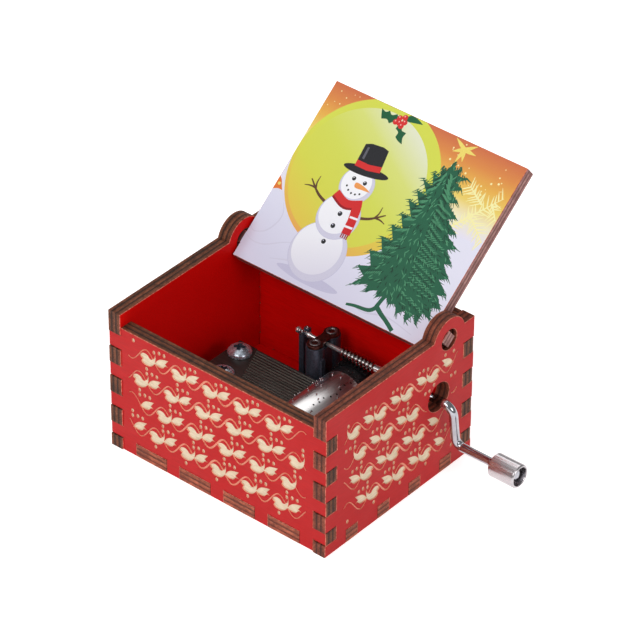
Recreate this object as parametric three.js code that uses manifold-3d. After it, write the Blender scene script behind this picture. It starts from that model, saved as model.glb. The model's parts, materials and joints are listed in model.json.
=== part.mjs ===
// Hand crank music box: a finger-jointed plywood case with a lid that swings on
// its own pegs, and a pinned-drum movement turned by a cranked wire handle.
// Millimetres. X runs along the long front of the case, the handle leaves at +X,
// the front is at -Y, the lid is hinged towards +Y, +Z is up.
// The origin is the centre of the case's underside.
import * as THREE from 'three';
import { mergeVertices } from 'three/addons/utils/BufferGeometryUtils.js';
import Module from 'manifold-3d';

const wasm = await Module();
wasm.setup();

// ---------------------------------------------------------------- dimensions
// case
const HALF_LENGTH = 32.0;        // to the outer face of each side panel
const HALF_DEPTH = 25.7;         // to the outer face of the front and back panels
const PANEL = 3.6;               // plywood thickness
const SIDE_HEIGHT = 38.0;        // side and back panels
const FRONT_HEIGHT = 34.4;       // front panel, a lid thickness lower
const FINGER_PROUD = 0.2;        // side fingers stand out of the front and back faces
const KERF = 0.1;                // laser gap left in every finger joint
const SIDE_FINGERS = [[0, 3.3], [6.8, 11.4], [15.3, 19.9], [23.7, 28.2], [32.3, SIDE_HEIGHT]];
const LONG_TABS = [-19.75, -6.6, 6.6, 19.75];   // bottom panel tabs along X (centres)
const LONG_TAB_WIDTH = 9.1;
const SHORT_TABS = [-16.6, -5.5, 5.5, 16.6];    // bottom panel tabs along Y (centres)
const SHORT_TAB_WIDTH = 3.9;
// lid and its hinge line
const HINGE_Y = 16.85;
const HINGE_Z = 36.35;
const EAR_RADIUS = 5.65;         // rounded ear of each side panel, about the hinge line
const PEG_HOLE_RADIUS = 2.65;
const LID_THICKNESS = 3.5;
const LID_HALF_WIDTH = 27.95;
const LID_FRONT = 42.4;          // hinge line to the free edge
const LID_TAIL = 4.8;            // hinge line to the short edge behind it
const PEG_WIDTH = 3.0;
const PEG_END = 31.7;            // peg ends stop just inside the outer faces
const LID_OPEN_ANGLE = 38.6;     // degrees above horizontal, leaning back on the back panel
// crank
const SHAFT_Y = 13.75;
const SHAFT_Z = 21.15;
const WIRE_RADIUS = 1.05;
const PIVOT_RADIUS = 0.55;
const ARM_X = 35.9;
const HANDLE_Y = 15.27;
const HANDLE_Z = 9.85;
const UPPER_BEND = 2.8;
const LOWER_BEND = 2.1;
const CRANK_HOLE = [13.57, 22.2, 3.75];         // y, z, radius in the right panel
const KNOB_START = 47.1;
const KNOB_END = 54.35;
const KNOB_RADIUS = 2.9;
// worm drive
const DRUM_X = 8.0;
const DRUM_Z = 13.05;
const WHEEL_TEETH = 40;
const WHEEL_PITCH_RADIUS = 6.85;
const WORM_PITCH = 2 * Math.PI * WHEEL_PITCH_RADIUS / WHEEL_TEETH;
const WORM_PITCH_RADIUS = SHAFT_Z - DRUM_Z - WHEEL_PITCH_RADIUS;
const WORM_CREST = 1.5;
const WORM_ROOT = 0.9;
const WORM_START = 4.2;
const WORM_END = 14.6;
// drum and comb
const DRUM_RADIUS = 6.5;
const DRUM_BORE = 5.8;
const DRUM_FRONT = -9.0;
const DRUM_REAR = 9.5;
const PIN_RADIUS = 6.9;
const ARBOR_RADIUS = 0.9;
const TEETH = 18;
const TOOTH_PITCH = 0.86;
const TOOTH_WIDTH = 0.56;
const REAR_TOOTH_Y = 7.7;
const COMB_TOP = 15.0;
const COMB_TIP_X = 1.1;
const PLATE_TOP = 5.6;

// ------------------------------------------------------------------- helpers
const root = new THREE.Group();
const colours = {
  red: [0xb92525, 0.6, 0.0], print: [0xe9a53a, 0.45, 0.0], casting: [0x24262a, 0.5, 0.7],
  comb: [0x3c3836, 0.4, 0.9], steel: [0xc6c8cc, 0.3, 1.0], chrome: [0xd8d8dc, 0.12, 1.0],
  plastic: [0x17181a, 0.55, 0.0], strap: [0x3b2a26, 0.45, 0.8],
};

function add(name, geometry, look, parent = root) {
  const [color, roughness, metalness] = colours[look];
  const mesh = new THREE.Mesh(geometry, new THREE.MeshStandardMaterial({ color, roughness, metalness }));
  mesh.name = name;
  parent.add(mesh);
  return mesh;
}

function solid(geometry) {
  const g = geometry.clone();
  g.deleteAttribute('normal');
  g.deleteAttribute('uv');
  const m = mergeVertices(g, 1e-5);
  return new wasm.Manifold(new wasm.Mesh({
    numProp: 3,
    vertProperties: new Float32Array(m.attributes.position.array),
    triVerts: new Uint32Array(m.index.array),
  }));
}

function geometryOf(manifold) {
  const mesh = manifold.getMesh();
  const g = new THREE.BufferGeometry();
  const n = mesh.vertProperties.length / mesh.numProp;
  const pos = new Float32Array(n * 3);
  for (let i = 0; i < n; i++) {
    for (let k = 0; k < 3; k++) pos[3 * i + k] = mesh.vertProperties[mesh.numProp * i + k];
  }
  g.setAttribute('position', new THREE.BufferAttribute(pos, 3));
  g.setIndex(new THREE.BufferAttribute(new Uint32Array(mesh.triVerts), 1));
  g.computeVertexNormals();
  return g;
}

const join = (list) => list.reduce((a, b) => a.add(b));

function box(x0, x1, y0, y1, z0, z1) {
  const g = new THREE.BoxGeometry(x1 - x0, y1 - y0, z1 - z0);
  g.translate((x0 + x1) / 2, (y0 + y1) / 2, (z0 + z1) / 2);
  return solid(g);
}

// a turned body about a line along 'axis' through (a, b, c); profile is [radius, height] pairs
function turned(profile, axis, at, segments = 32) {
  const g = new THREE.LatheGeometry(profile.map(([r, h]) => new THREE.Vector2(r, h)), segments);
  if (axis === 'z') g.rotateX(Math.PI / 2);
  if (axis === 'x') g.rotateZ(-Math.PI / 2);
  g.translate(...at);
  return g;
}

function rod(r, h0, h1, axis, at, segments = 24) {
  return solid(turned([[0, h0], [r, h0], [r, h1], [0, h1]], axis, at, segments));
}

function outline(points) {
  return new THREE.Shape(points.map(([a, b]) => new THREE.Vector2(a, b)));
}

function circleHole(shape, a, b, r, segments) {
  const pts = [];
  for (let i = 0; i < segments; i++) {
    const t = -2 * Math.PI * i / segments;
    pts.push(new THREE.Vector2(a + r * Math.cos(t), b + r * Math.sin(t)));
  }
  shape.holes.push(new THREE.Path(pts));
}

const extrude = (shape, depth) => new THREE.ExtrudeGeometry(shape, { depth, bevelEnabled: false, steps: 1 });

// orientation of an outline drawn in (Y, Z) and given its thickness along +X
const FACING_X = new THREE.Quaternion().setFromRotationMatrix(new THREE.Matrix4().makeBasis(
  new THREE.Vector3(0, 1, 0), new THREE.Vector3(0, 0, 1), new THREE.Vector3(1, 0, 0)));

// -------------------------------------------------------------- case panels
// the edge of a panel that carries fingers: [offset, height] pairs going up
function fingerEdge(inner, outer, top, sideTurn) {
  const pts = [];
  const g = KERF / 2;
  let z = 0;
  const levels = [];
  for (const [a, b] of SIDE_FINGERS) {
    if (a > z) levels.push([z, a, false]);
    levels.push([a, b, true]);
    z = b;
  }
  for (const [a, b, side] of levels) {
    const out = side === sideTurn;
    const lo = a === 0 ? 0 : a + (out ? g : -g);
    let hi = b + (out ? -g : g);
    if (b >= SIDE_HEIGHT) hi = SIDE_HEIGHT;
    if (lo >= top) break;
    hi = Math.min(hi, top);
    pts.push([out ? outer : inner, lo], [out ? outer : inner, hi]);
    if (hi >= top) break;
  }
  return pts;
}

function bottomNotches(tabs, width) {
  const pts = [];
  for (const c of tabs) {
    const h = width / 2 + KERF / 2;
    pts.push([c - h, 0], [c - h, PANEL + KERF], [c + h, PANEL + KERF], [c + h, 0]);
  }
  return pts;
}

function longPanel(height) {
  const right = fingerEdge(HALF_LENGTH - PANEL - KERF / 2, HALF_LENGTH, height, false);
  const left = right.map(([a, z]) => [-a, z]).reverse();
  return outline([...bottomNotches(LONG_TABS, LONG_TAB_WIDTH), ...right, ...left]);
}

const front = add('front_panel', extrude(longPanel(FRONT_HEIGHT), PANEL), 'red');
front.rotation.x = Math.PI / 2;
front.position.y = -(HALF_DEPTH - PANEL);

const back = add('back_panel', extrude(longPanel(SIDE_HEIGHT), PANEL), 'red');
back.rotation.x = Math.PI / 2;
back.position.y = HALF_DEPTH;

function sidePanel(crankHole) {
  const rear = fingerEdge(HALF_DEPTH - PANEL - KERF / 2, HALF_DEPTH + FINGER_PROUD, SIDE_HEIGHT, true);
  const frontEdge = rear.map(([a, z]) => [-a, z]).reverse();
  const dy = Math.sqrt(EAR_RADIUS ** 2 - (SIDE_HEIGHT - HINGE_Z) ** 2);
  const start = Math.asin((SIDE_HEIGHT - HINGE_Z) / EAR_RADIUS);
  const ear = [];
  const steps = 18;
  for (let i = 0; i <= steps; i++) {
    const t = start + (Math.PI - 2 * start) * i / steps;
    ear.push([HINGE_Y + EAR_RADIUS * Math.cos(t), HINGE_Z + EAR_RADIUS * Math.sin(t)]);
  }
  ear[0] = [HINGE_Y + dy, SIDE_HEIGHT];
  ear[steps] = [HINGE_Y - dy, SIDE_HEIGHT];
  const shape = outline([...bottomNotches(SHORT_TABS, SHORT_TAB_WIDTH), ...rear, ...ear, ...frontEdge]);
  circleHole(shape, HINGE_Y, HINGE_Z, PEG_HOLE_RADIUS, 28);
  if (crankHole) circleHole(shape, ...CRANK_HOLE, 32);
  return shape;
}

const left = add('left_panel', extrude(sidePanel(false), PANEL), 'red');
left.quaternion.copy(FACING_X);
left.position.x = -HALF_LENGTH;

const right = add('right_panel', extrude(sidePanel(true), PANEL), 'red');
right.quaternion.copy(FACING_X);
right.position.x = HALF_LENGTH - PANEL;

// bottom panel with its tabs, and three countersunk holes for the movement's screws
const MOUNT_SCREWS = [[-20.5, 12.6], [-5.5, -9.6], [14.2, 16.6]];
{
  const ix = HALF_LENGTH - PANEL - KERF / 2;
  const iy = HALF_DEPTH - PANEL - KERF / 2;
  const ends = (tabs, w, inner, outer) => tabs.flatMap((c) => [
    [c - w / 2, inner], [c - w / 2, outer], [c + w / 2, outer], [c + w / 2, inner]]);
  const frontRun = ends(LONG_TABS, LONG_TAB_WIDTH, -iy, -HALF_DEPTH);
  const rightRun = ends(SHORT_TABS, SHORT_TAB_WIDTH, ix, HALF_LENGTH).map(([a, b]) => [b, a]);
  const backRun = frontRun.map(([a, b]) => [-a, -b]);
  const leftRun = rightRun.map(([a, b]) => [-a, -b]);
  const shape = outline([[-ix, -iy], ...frontRun, [ix, -iy], ...rightRun, [ix, iy], ...backRun, [-ix, iy], ...leftRun]);
  let base = solid(extrude(shape, PANEL));
  for (const [x, y] of MOUNT_SCREWS) {
    base = base.subtract(solid(turned(
      [[0, -1], [3.0, -1], [3.0, 0], [1.55, 1.5], [1.55, PANEL + 1], [0, PANEL + 1]], 'z', [x, y, 0], 20)));
  }
  add('bottom_panel', geometryOf(base), 'red');
}

// --------------------------------------------------------------------- lid
// drawn with the hinge line as its X axis, the free edge towards +y, the picture side up
const lidGroup = new THREE.Group();
lidGroup.position.set(0, HINGE_Y, HINGE_Z);
lidGroup.rotation.x = LID_OPEN_ANGLE * Math.PI / 180;
root.add(lidGroup);
{
  const w = LID_HALF_WIDTH;
  const p = PEG_WIDTH / 2;
  const shape = outline([
    [-w, -LID_TAIL], [w, -LID_TAIL], [w, -p], [PEG_END, -p], [PEG_END, p], [w, p],
    [w, LID_FRONT], [-w, LID_FRONT], [-w, p], [-PEG_END, p], [-PEG_END, -p], [-w, -p]]);
  const g = extrude(shape, LID_THICKNESS);
  g.translate(0, 0, -LID_THICKNESS / 2);
  add('lid_panel', g, 'print', lidGroup);
}

// ---------------------------------------------------------- movement frame
// die-cast bedplate: floor, comb block, worm bracket, end post and drum bearings
const BRACKET_X = -2.0;
const BRACKET_Y = [10.75, 16.75];
const BRACKET_TOP = 21.85;
const COMB_SCREWS = [[-19.3, 4.4], [-16.7, -4.7]];
const COMB_BOTTOM = 13.5;
const rootX = (y) => -17.1 + (8.2 - y) * 0.405;       // root line of the teeth
{
  const floor = outline([[-24, -11.8], [16.6, -11.8], [16.6, 19.2], [-6.2, 19.2], [-6.2, 15.8], [-24, 15.8]]);
  const floorGeometry = extrude(floor, PLATE_TOP - 3.7);
  floorGeometry.translate(0, 0, 3.7);
  const block = outline([[-22.3, -7.6], [rootX(-7.6) - 0.7, -7.6], [rootX(8.0) - 0.7, 8.0], [-22.3, 8.0]]);
  const blockGeometry = extrude(block, COMB_BOTTOM - PLATE_TOP + 0.5);
  blockGeometry.translate(0, 0, PLATE_TOP - 0.5);
  const parts = [solid(floorGeometry), solid(blockGeometry)];
  // worm bracket: two round posts joined by a saddle that the shaft lies in
  for (const y of BRACKET_Y) parts.push(rod(2.15, PLATE_TOP - 0.5, BRACKET_TOP, 'z', [BRACKET_X, y, 0], 24));
  parts.push(box(BRACKET_X - 1.5, BRACKET_X + 1.5, BRACKET_Y[0], BRACKET_Y[1], PLATE_TOP - 0.5, SHAFT_Z - PIVOT_RADIUS - 0.05));
  parts.push(box(BRACKET_X - 0.6, BRACKET_X + 2.6, BRACKET_Y[0] - 0.6, BRACKET_Y[0] + 0.6, PLATE_TOP - 0.5, 19.0));
  // forked end post that keeps the shaft from sliding
  parts.push(box(-8.4, -7.0, 12.6, 15.4, PLATE_TOP - 0.5, 21.95));
  // bearings at both ends of the drum
  for (const [y0, y1] of [[-11.6, -9.9], [16.6, 18.4]]) {
    parts.push(box(DRUM_X - 2.6, DRUM_X + 2.6, y0, y1, PLATE_TOP - 0.5, DRUM_Z));
    parts.push(solid(turned([[0, y0], [2.6, y0], [2.6, y1], [0, y1]], 'y', [DRUM_X, 0, DRUM_Z], 24)));
  }
  // bosses for the screws from below
  for (const [x, y] of MOUNT_SCREWS) parts.push(rod(2.4, PLATE_TOP - 0.5, PLATE_TOP + 1.2, 'z', [x, y, 0], 20));
  let frame = join(parts);
  frame = frame.subtract(box(-9, -6, SHAFT_Y - 0.6, SHAFT_Y + 0.6, SHAFT_Z - 0.6, 24));
  frame = frame.subtract(box(BRACKET_X - 3, BRACKET_X + 3, SHAFT_Y - 0.62, SHAFT_Y + 0.62, SHAFT_Z - 0.6, 24));
  frame = frame.subtract(rod(ARBOR_RADIUS + 0.08, -13, 20, 'y', [DRUM_X, 0, DRUM_Z], 24));
  for (const [x, y] of COMB_SCREWS) frame = frame.subtract(rod(1.3, 8.6, 15, 'z', [x, y, 0], 16));
  for (const [x, y] of MOUNT_SCREWS) frame = frame.subtract(rod(1.3, 3, 6.3, 'z', [x, y, 0], 16));
  for (const y of BRACKET_Y) frame = frame.subtract(rod(0.9, 19.5, 24, 'z', [BRACKET_X, y, 0], 16));
  add('movement_bedplate', geometryOf(frame), 'casting');
}

for (const [i, [x, y]] of MOUNT_SCREWS.entries()) {
  let screw = solid(turned([[0, 0.12], [2.55, 0.12], [1.2, 1.5], [1.2, 6.0], [0, 6.2]], 'z', [x, y, 0], 16));
  screw = screw.subtract(box(x - 1.5, x + 1.5, y - 0.22, y + 0.22, -1, 0.9));
  screw = screw.subtract(box(x - 0.22, x + 0.22, y - 1.5, y + 1.5, -1, 0.9));
  add(`mounting_screw_${i + 1}`, geometryOf(screw), 'steel');
}

// --------------------------------------------------------------------- comb
{
  const pts = [[-22.5, -8.0]];
  const g = (TOOTH_PITCH - TOOTH_WIDTH) / 2;
  const first = REAR_TOOTH_Y - (TEETH - 1) * TOOTH_PITCH;
  pts.push([rootX(first - TOOTH_PITCH / 2), -8.0]);
  for (let k = 0; k < TEETH; k++) {
    const y = first + k * TOOTH_PITCH;
    const a = y - TOOTH_PITCH / 2 + g;
    const b = y + TOOTH_PITCH / 2 - g;
    pts.push([rootX(a), a], [COMB_TIP_X, a], [COMB_TIP_X, b], [rootX(b), b]);
  }
  pts.push([rootX(REAR_TOOTH_Y + 0.5), 8.2], [-22.5, 8.2]);
  const g0 = extrude(outline(pts), 0.7);
  g0.translate(0, 0, COMB_TOP - 0.7);
  const heel = outline([[-22.5, -8.0], [rootX(-8.0) - 0.5, -8.0], [rootX(8.2) - 0.5, 8.2], [-22.5, 8.2]]);
  const g1 = extrude(heel, 1.0);
  g1.translate(0, 0, COMB_BOTTOM + 0.05);
  let comb = solid(g0).add(solid(g1));
  for (const [x, y] of COMB_SCREWS) comb = comb.subtract(rod(1.4, 12, 17, 'z', [x, y, 0], 16));
  add('comb', geometryOf(comb), 'comb');
}

for (const [i, [x, y]] of COMB_SCREWS.entries()) {
  const z = COMB_TOP + 0.02;
  const dome = [];
  for (let k = 0; k <= 5; k++) {
    const t = Math.PI / 2 * k / 5;
    dome.push([2.95 * Math.cos(t), z + 0.35 + 1.6 * Math.sin(t)]);
  }
  dome[5][0] = 0;
  let screw = solid(turned([[0, 9.0], [1.1, 9.0], [1.1, z], [2.95, z], ...dome], 'z', [x, y, 0], 20));
  const cut = new THREE.BoxGeometry(2.8, 0.6, 3);
  cut.rotateZ(0.5 + i * 0.6);
  cut.translate(x, y, z + 1.0 + 1.5);
  const cut2 = new THREE.BoxGeometry(0.6, 2.8, 3);
  cut2.rotateZ(0.5 + i * 0.6);
  cut2.translate(x, y, z + 1.0 + 1.5);
  screw = screw.subtract(solid(cut)).subtract(solid(cut2));
  add(i === 0 ? 'comb_screw_rear' : 'comb_screw_front', geometryOf(screw), 'chrome');
}

// --------------------------------------------------------------------- drum
{
  const tube = turned([[DRUM_BORE, DRUM_FRONT], [DRUM_RADIUS, DRUM_FRONT], [DRUM_RADIUS, DRUM_REAR],
    [DRUM_BORE, DRUM_REAR], [DRUM_BORE, DRUM_FRONT]], 'y', [DRUM_X, 0, DRUM_Z], 40);
  let drum = solid(tube);
  // pins: a fixed sequence of angles, three to a tooth
  const pins = [];
  let seed = 7;
  for (let k = 0; k < TEETH; k++) {
    const y = REAR_TOOTH_Y - k * TOOTH_PITCH;
    for (let j = 0; j < 3; j++) {
      seed = (seed * 137 + 71) % 997;
      const angle = (j + seed / 997 * 0.8) * 2 * Math.PI / 3;
      const pin = new THREE.BoxGeometry(0.34, 0.34, PIN_RADIUS - DRUM_RADIUS + 0.25);
      pin.translate(0, 0, (PIN_RADIUS + DRUM_RADIUS - 0.25) / 2);
      pin.rotateY(angle);
      pin.translate(DRUM_X, y, DRUM_Z);
      pins.push(solid(pin));
    }
  }
  add('drum', geometryOf(drum.add(join(pins))), 'steel');
}

add('drum_arbor', turned([[0, -12.2], [ARBOR_RADIUS, -12.2], [ARBOR_RADIUS, 19.0], [0, 19.0]], 'y',
  [DRUM_X, 0, DRUM_Z], 24), 'steel');

{
  const r = ARBOR_RADIUS + 0.05;
  add('drum_end_cap', turned([[r, -9.7], [DRUM_RADIUS - 0.1, -9.7], [DRUM_RADIUS - 0.1, -9.05], [DRUM_BORE - 0.06, -9.05],
    [DRUM_BORE - 0.06, -6.5], [r, -6.5], [r, -9.7]], 'y', [DRUM_X, 0, DRUM_Z], 32), 'plastic');
}

// wheel: teeth slanted to the worm's lead, on a collar that plugs the drum's rear end
{
  const N = WHEEL_TEETH;
  const rb = WHEEL_PITCH_RADIUS * Math.cos(20 * Math.PI / 180);
  const inv = (r) => { const c = Math.min(1, rb / r); const a = Math.acos(c); return Math.tan(a) - a; };
  const half = (r) => 0.2 / WHEEL_PITCH_RADIUS + inv(WHEEL_PITCH_RADIUS) - inv(r);
  const [root0, tip] = [6.47, 7.1];
  const pts = [];
  for (let k = 0; k < N; k++) {
    const c = (k + 0.5) * 2 * Math.PI / N;           // a gap faces the worm at the top
    for (const [r, t] of [[root0, c - half(root0)], [tip, c - half(tip)], [tip, c + half(tip)], [root0, c + half(root0)]]) {
      pts.push([-r * Math.sin(t), r * Math.cos(t)]);
    }
  }
  const shape = outline(pts);
  circleHole(shape, 0, 0, 5.0, N);
  const width = 2.4;
  const g = extrude(shape, width);
  g.rotateX(Math.PI / 2);                            // the outline's height becomes +Z, its depth -Y
  g.translate(0, SHAFT_Y + width / 2, 0);
  // slant the teeth: the top moves towards +X as y grows
  const lead = WORM_PITCH / (2 * Math.PI * WORM_PITCH_RADIUS);
  const p = g.attributes.position;
  for (let i = 0; i < p.count; i++) {
    const a = lead * (p.getY(i) - SHAFT_Y) / WHEEL_PITCH_RADIUS;
    const x = p.getX(i), z = p.getZ(i);
    p.setXYZ(i, DRUM_X + x * Math.cos(a) + z * Math.sin(a), p.getY(i), DRUM_Z + z * Math.cos(a) - x * Math.sin(a));
  }
  const r0 = ARBOR_RADIUS + 0.05;
  const hub = turned([[r0, 6.6], [DRUM_BORE - 0.06, 6.6], [DRUM_BORE - 0.06, 9.62], [6.35, 9.62], [6.35, 12.2],
    [4.6, 12.2], [4.6, 12.7], [5.3, 12.7], [5.3, 14.8], [2.2, 14.8], [2.2, 16.2], [r0, 16.2], [r0, 6.6]],
  'y', [DRUM_X, 0, DRUM_Z], 36);
  add('drum_gear', geometryOf(solid(g).add(solid(hub))), 'plastic');
}

// --------------------------------------------------------------- crank wire
// rings of a bent round bar: [centre, unit normal u, unit normal v, radius]
function bar(rings, segments) {
  const pos = [];
  const idx = [];
  for (const [c, u, v, r] of rings) {
    for (let i = 0; i < segments; i++) {
      const t = 2 * Math.PI * i / segments;
      pos.push(c.x + r * (Math.cos(t) * u.x + Math.sin(t) * v.x),
        c.y + r * (Math.cos(t) * u.y + Math.sin(t) * v.y),
        c.z + r * (Math.cos(t) * u.z + Math.sin(t) * v.z));
    }
  }
  for (let s = 0; s < rings.length - 1; s++) {
    for (let i = 0; i < segments; i++) {
      const j = (i + 1) % segments;
      const a = s * segments + i, b = s * segments + j, c = a + segments, d = b + segments;
      idx.push(a, b, c, b, d, c);
    }
  }
  const c0 = pos.length / 3;
  const p = rings[0][0], q = rings[rings.length - 1][0];
  pos.push(p.x, p.y, p.z, q.x, q.y, q.z);
  const last = (rings.length - 1) * segments;
  for (let i = 0; i < segments; i++) {
    const j = (i + 1) % segments;
    idx.push(c0, j, i);
    idx.push(c0 + 1, last + i, last + j);
  }
  const g = new THREE.BufferGeometry();
  g.setAttribute('position', new THREE.BufferAttribute(new Float32Array(pos), 3));
  g.setIndex(idx);
  return g;
}

{
  const X = new THREE.Vector3(1, 0, 0);
  const down = new THREE.Vector3(0, HANDLE_Y - SHAFT_Y, HANDLE_Z - SHAFT_Z);
  const reach = down.length();
  down.normalize();
  const side = new THREE.Vector3().crossVectors(X, down);      // normal of the plane the wire is bent in
  const at = (x, along) => new THREE.Vector3(x, SHAFT_Y, SHAFT_Z).addScaledVector(down, along);
  const rings = [];
  const ring = (x, along, angle, r) => {
    // tangent = X cos + down sin; the in-plane normal completes it
    const u = new THREE.Vector3().addScaledVector(X, -Math.sin(angle)).addScaledVector(down, Math.cos(angle));
    rings.push([at(x, along), u, side, r]);
  };
  ring(-9.9, 0, 0, 0.6);
  ring(-9.7, 0, 0, 0.78);
  ring(-9.15, 0, 0, 0.78);
  ring(-9.0, 0, 0, 0.5);
  ring(-6.5, 0, 0, 0.5);
  ring(-6.4, 0, 0, 0.75);
  ring(-5.9, 0, 0, 0.75);
  ring(-5.8, 0, 0, PIVOT_RADIUS);
  ring(3.3, 0, 0, PIVOT_RADIUS);
  ring(3.9, 0, 0, WORM_ROOT);
  ring(WORM_END, 0, 0, WORM_ROOT);
  ring(WORM_END + 0.5, 0, 0, WIRE_RADIUS);
  const n1 = 8;
  for (let i = 0; i <= n1; i++) {
    const t = Math.PI / 2 * i / n1;
    ring(ARM_X - UPPER_BEND + UPPER_BEND * Math.sin(t), UPPER_BEND * (1 - Math.cos(t)), t, WIRE_RADIUS);
  }
  for (let i = 0; i <= n1; i++) {
    const t = Math.PI / 2 * (1 - i / n1);
    ring(ARM_X + LOWER_BEND * (1 - Math.sin(t)), reach - LOWER_BEND * (1 - Math.cos(t)), t, WIRE_RADIUS);
  }
  // a pinched ring behind the knob, then the knob's journal and the peened end
  ring(46.0, reach, 0, WIRE_RADIUS);
  ring(46.3, reach, 0, 1.35);
  ring(46.8, reach, 0, 1.35);
  ring(46.95, reach, 0, WIRE_RADIUS);
  ring(52.1, reach, 0, WIRE_RADIUS);
  ring(52.25, reach, 0, 1.5);
  ring(52.9, reach, 0, 1.5);
  ring(53.4, reach, 0, 1.15);
  ring(53.65, reach, 0, 0.6);
  const wire = solid(bar(rings, 14));

  // worm thread: four rows to a turn of pitch, laid along the helix
  const S = 14;
  const w = 0.225;
  const tan20 = Math.tan(20 * Math.PI / 180);
  const add1 = WORM_CREST - WORM_PITCH_RADIUS;
  const ded1 = WORM_PITCH_RADIUS - (WORM_ROOT - 0.02);
  const profile = [
    [-(w + ded1 * tan20), WORM_ROOT - 0.02], [-(w - add1 * tan20), WORM_CREST],
    [w - add1 * tan20, WORM_CREST], [w + ded1 * tan20, WORM_ROOT - 0.02]];
  const turns = 13;
  const pos = [];
  const rows = 4 * turns;
  const first = DRUM_X - Math.round((DRUM_X - 2) / WORM_PITCH) * WORM_PITCH;
  for (let k = 0; k < rows; k++) {
    const [dx, r] = profile[k % 4];
    for (let j = 0; j < S; j++) {
      const phi = 2 * Math.PI * j / S;               // from the bottom, right-handed about +X
      const x = first + Math.floor(k / 4) * WORM_PITCH + dx + WORM_PITCH * phi / (2 * Math.PI);
      const a = phi - Math.PI / 2;
      pos.push(x, SHAFT_Y + r * Math.cos(a), SHAFT_Z + r * Math.sin(a));
    }
  }
  const V = (k, j) => (j === S ? (k + 4) * S : k * S + j);
  const idx = [];
  const lastRow = rows - 5;
  for (let k = 0; k < lastRow; k++) {
    for (let j = 0; j < S; j++) {
      const a = V(k, j), b = V(k, j + 1), c = V(k + 1, j), d = V(k + 1, j + 1);
      idx.push(a, b, c, b, d, c);
    }
  }
  const c0 = pos.length / 3;
  pos.push(first - WORM_PITCH * 0.2, SHAFT_Y, SHAFT_Z);
  pos.push(first + (turns - 1) * WORM_PITCH, SHAFT_Y, SHAFT_Z);
  const startLoop = [];
  for (let j = 0; j < S; j++) startLoop.push(V(0, j));
  startLoop.push(V(4, 0), V(3, 0), V(2, 0), V(1, 0));
  const endLoop = [];
  for (let j = 0; j < S; j++) endLoop.push(V(lastRow, j));
  endLoop.push(V(lastRow + 4, 0), V(lastRow + 3, 0), V(lastRow + 2, 0), V(lastRow + 1, 0));
  for (let i = 0; i < startLoop.length; i++) idx.push(c0, startLoop[(i + 1) % startLoop.length], startLoop[i]);
  for (let i = 0; i < endLoop.length; i++) idx.push(c0 + 1, endLoop[i], endLoop[(i + 1) % endLoop.length]);
  const used = new Map();
  const pos2 = [];
  const idx2 = idx.map((v) => {
    if (!used.has(v)) { used.set(v, pos2.length / 3); pos2.push(pos[3 * v], pos[3 * v + 1], pos[3 * v + 2]); }
    return used.get(v);
  });
  const g = new THREE.BufferGeometry();
  g.setAttribute('position', new THREE.BufferAttribute(new Float32Array(pos2), 3));
  g.setIndex(idx2);
  const limit = box(WORM_START, WORM_END, SHAFT_Y - 3, SHAFT_Y + 3, SHAFT_Z - 3, SHAFT_Z + 3);
  const thread = solid(g).intersect(limit);
  add('crank_wire', geometryOf(wire.add(thread)), 'chrome');
}

add('crank_knob', turned([[WIRE_RADIUS + 0.08, KNOB_START], [KNOB_RADIUS - 0.3, KNOB_START], [KNOB_RADIUS, KNOB_START + 0.3],
  [KNOB_RADIUS, KNOB_END - 0.25], [KNOB_RADIUS - 0.2, KNOB_END], [2.35, KNOB_END], [2.3, KNOB_END - 2.6],
  [WIRE_RADIUS + 0.08, KNOB_END - 2.6], [WIRE_RADIUS + 0.08, KNOB_START]], 'x', [0, HANDLE_Y, HANDLE_Z], 32), 'chrome');

// strap over the shaft, held by two tubular rivets
{
  const pts = [];
  const r = 2.15;
  for (let i = 0; i <= 12; i++) {
    const t = Math.PI * i / 12;
    pts.push([BRACKET_X + r * Math.cos(t), BRACKET_Y[1] + r * Math.sin(t)]);
  }
  for (let i = 0; i <= 12; i++) {
    const t = Math.PI + Math.PI * i / 12;
    pts.push([BRACKET_X + r * Math.cos(t), BRACKET_Y[0] + r * Math.sin(t)]);
  }
  const shape = outline(pts);
  for (const y of BRACKET_Y) circleHole(shape, BRACKET_X, y, 0.9, 16);
  const g = extrude(shape, 0.7);
  g.translate(0, 0, BRACKET_TOP + 0.05);
  add('worm_strap', g, 'strap');
  for (const [i, y] of BRACKET_Y.entries()) {
    const z = BRACKET_TOP + 0.75 + 0.03;
    add(i === 0 ? 'strap_rivet_front' : 'strap_rivet_rear', turned(
      [[0, 19.6], [0.82, 19.6], [0.82, z], [1.35, z], [1.3, z + 0.3], [0.95, z + 0.42], [0.5, z + 0.1], [0, z + 0.1]],
      'z', [BRACKET_X, y, 0], 16), 'steel');
  }
}

export default root;
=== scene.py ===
import json
import math

import bmesh
import bpy
import numpy as np
from mathutils import Matrix, Vector, geometry

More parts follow.
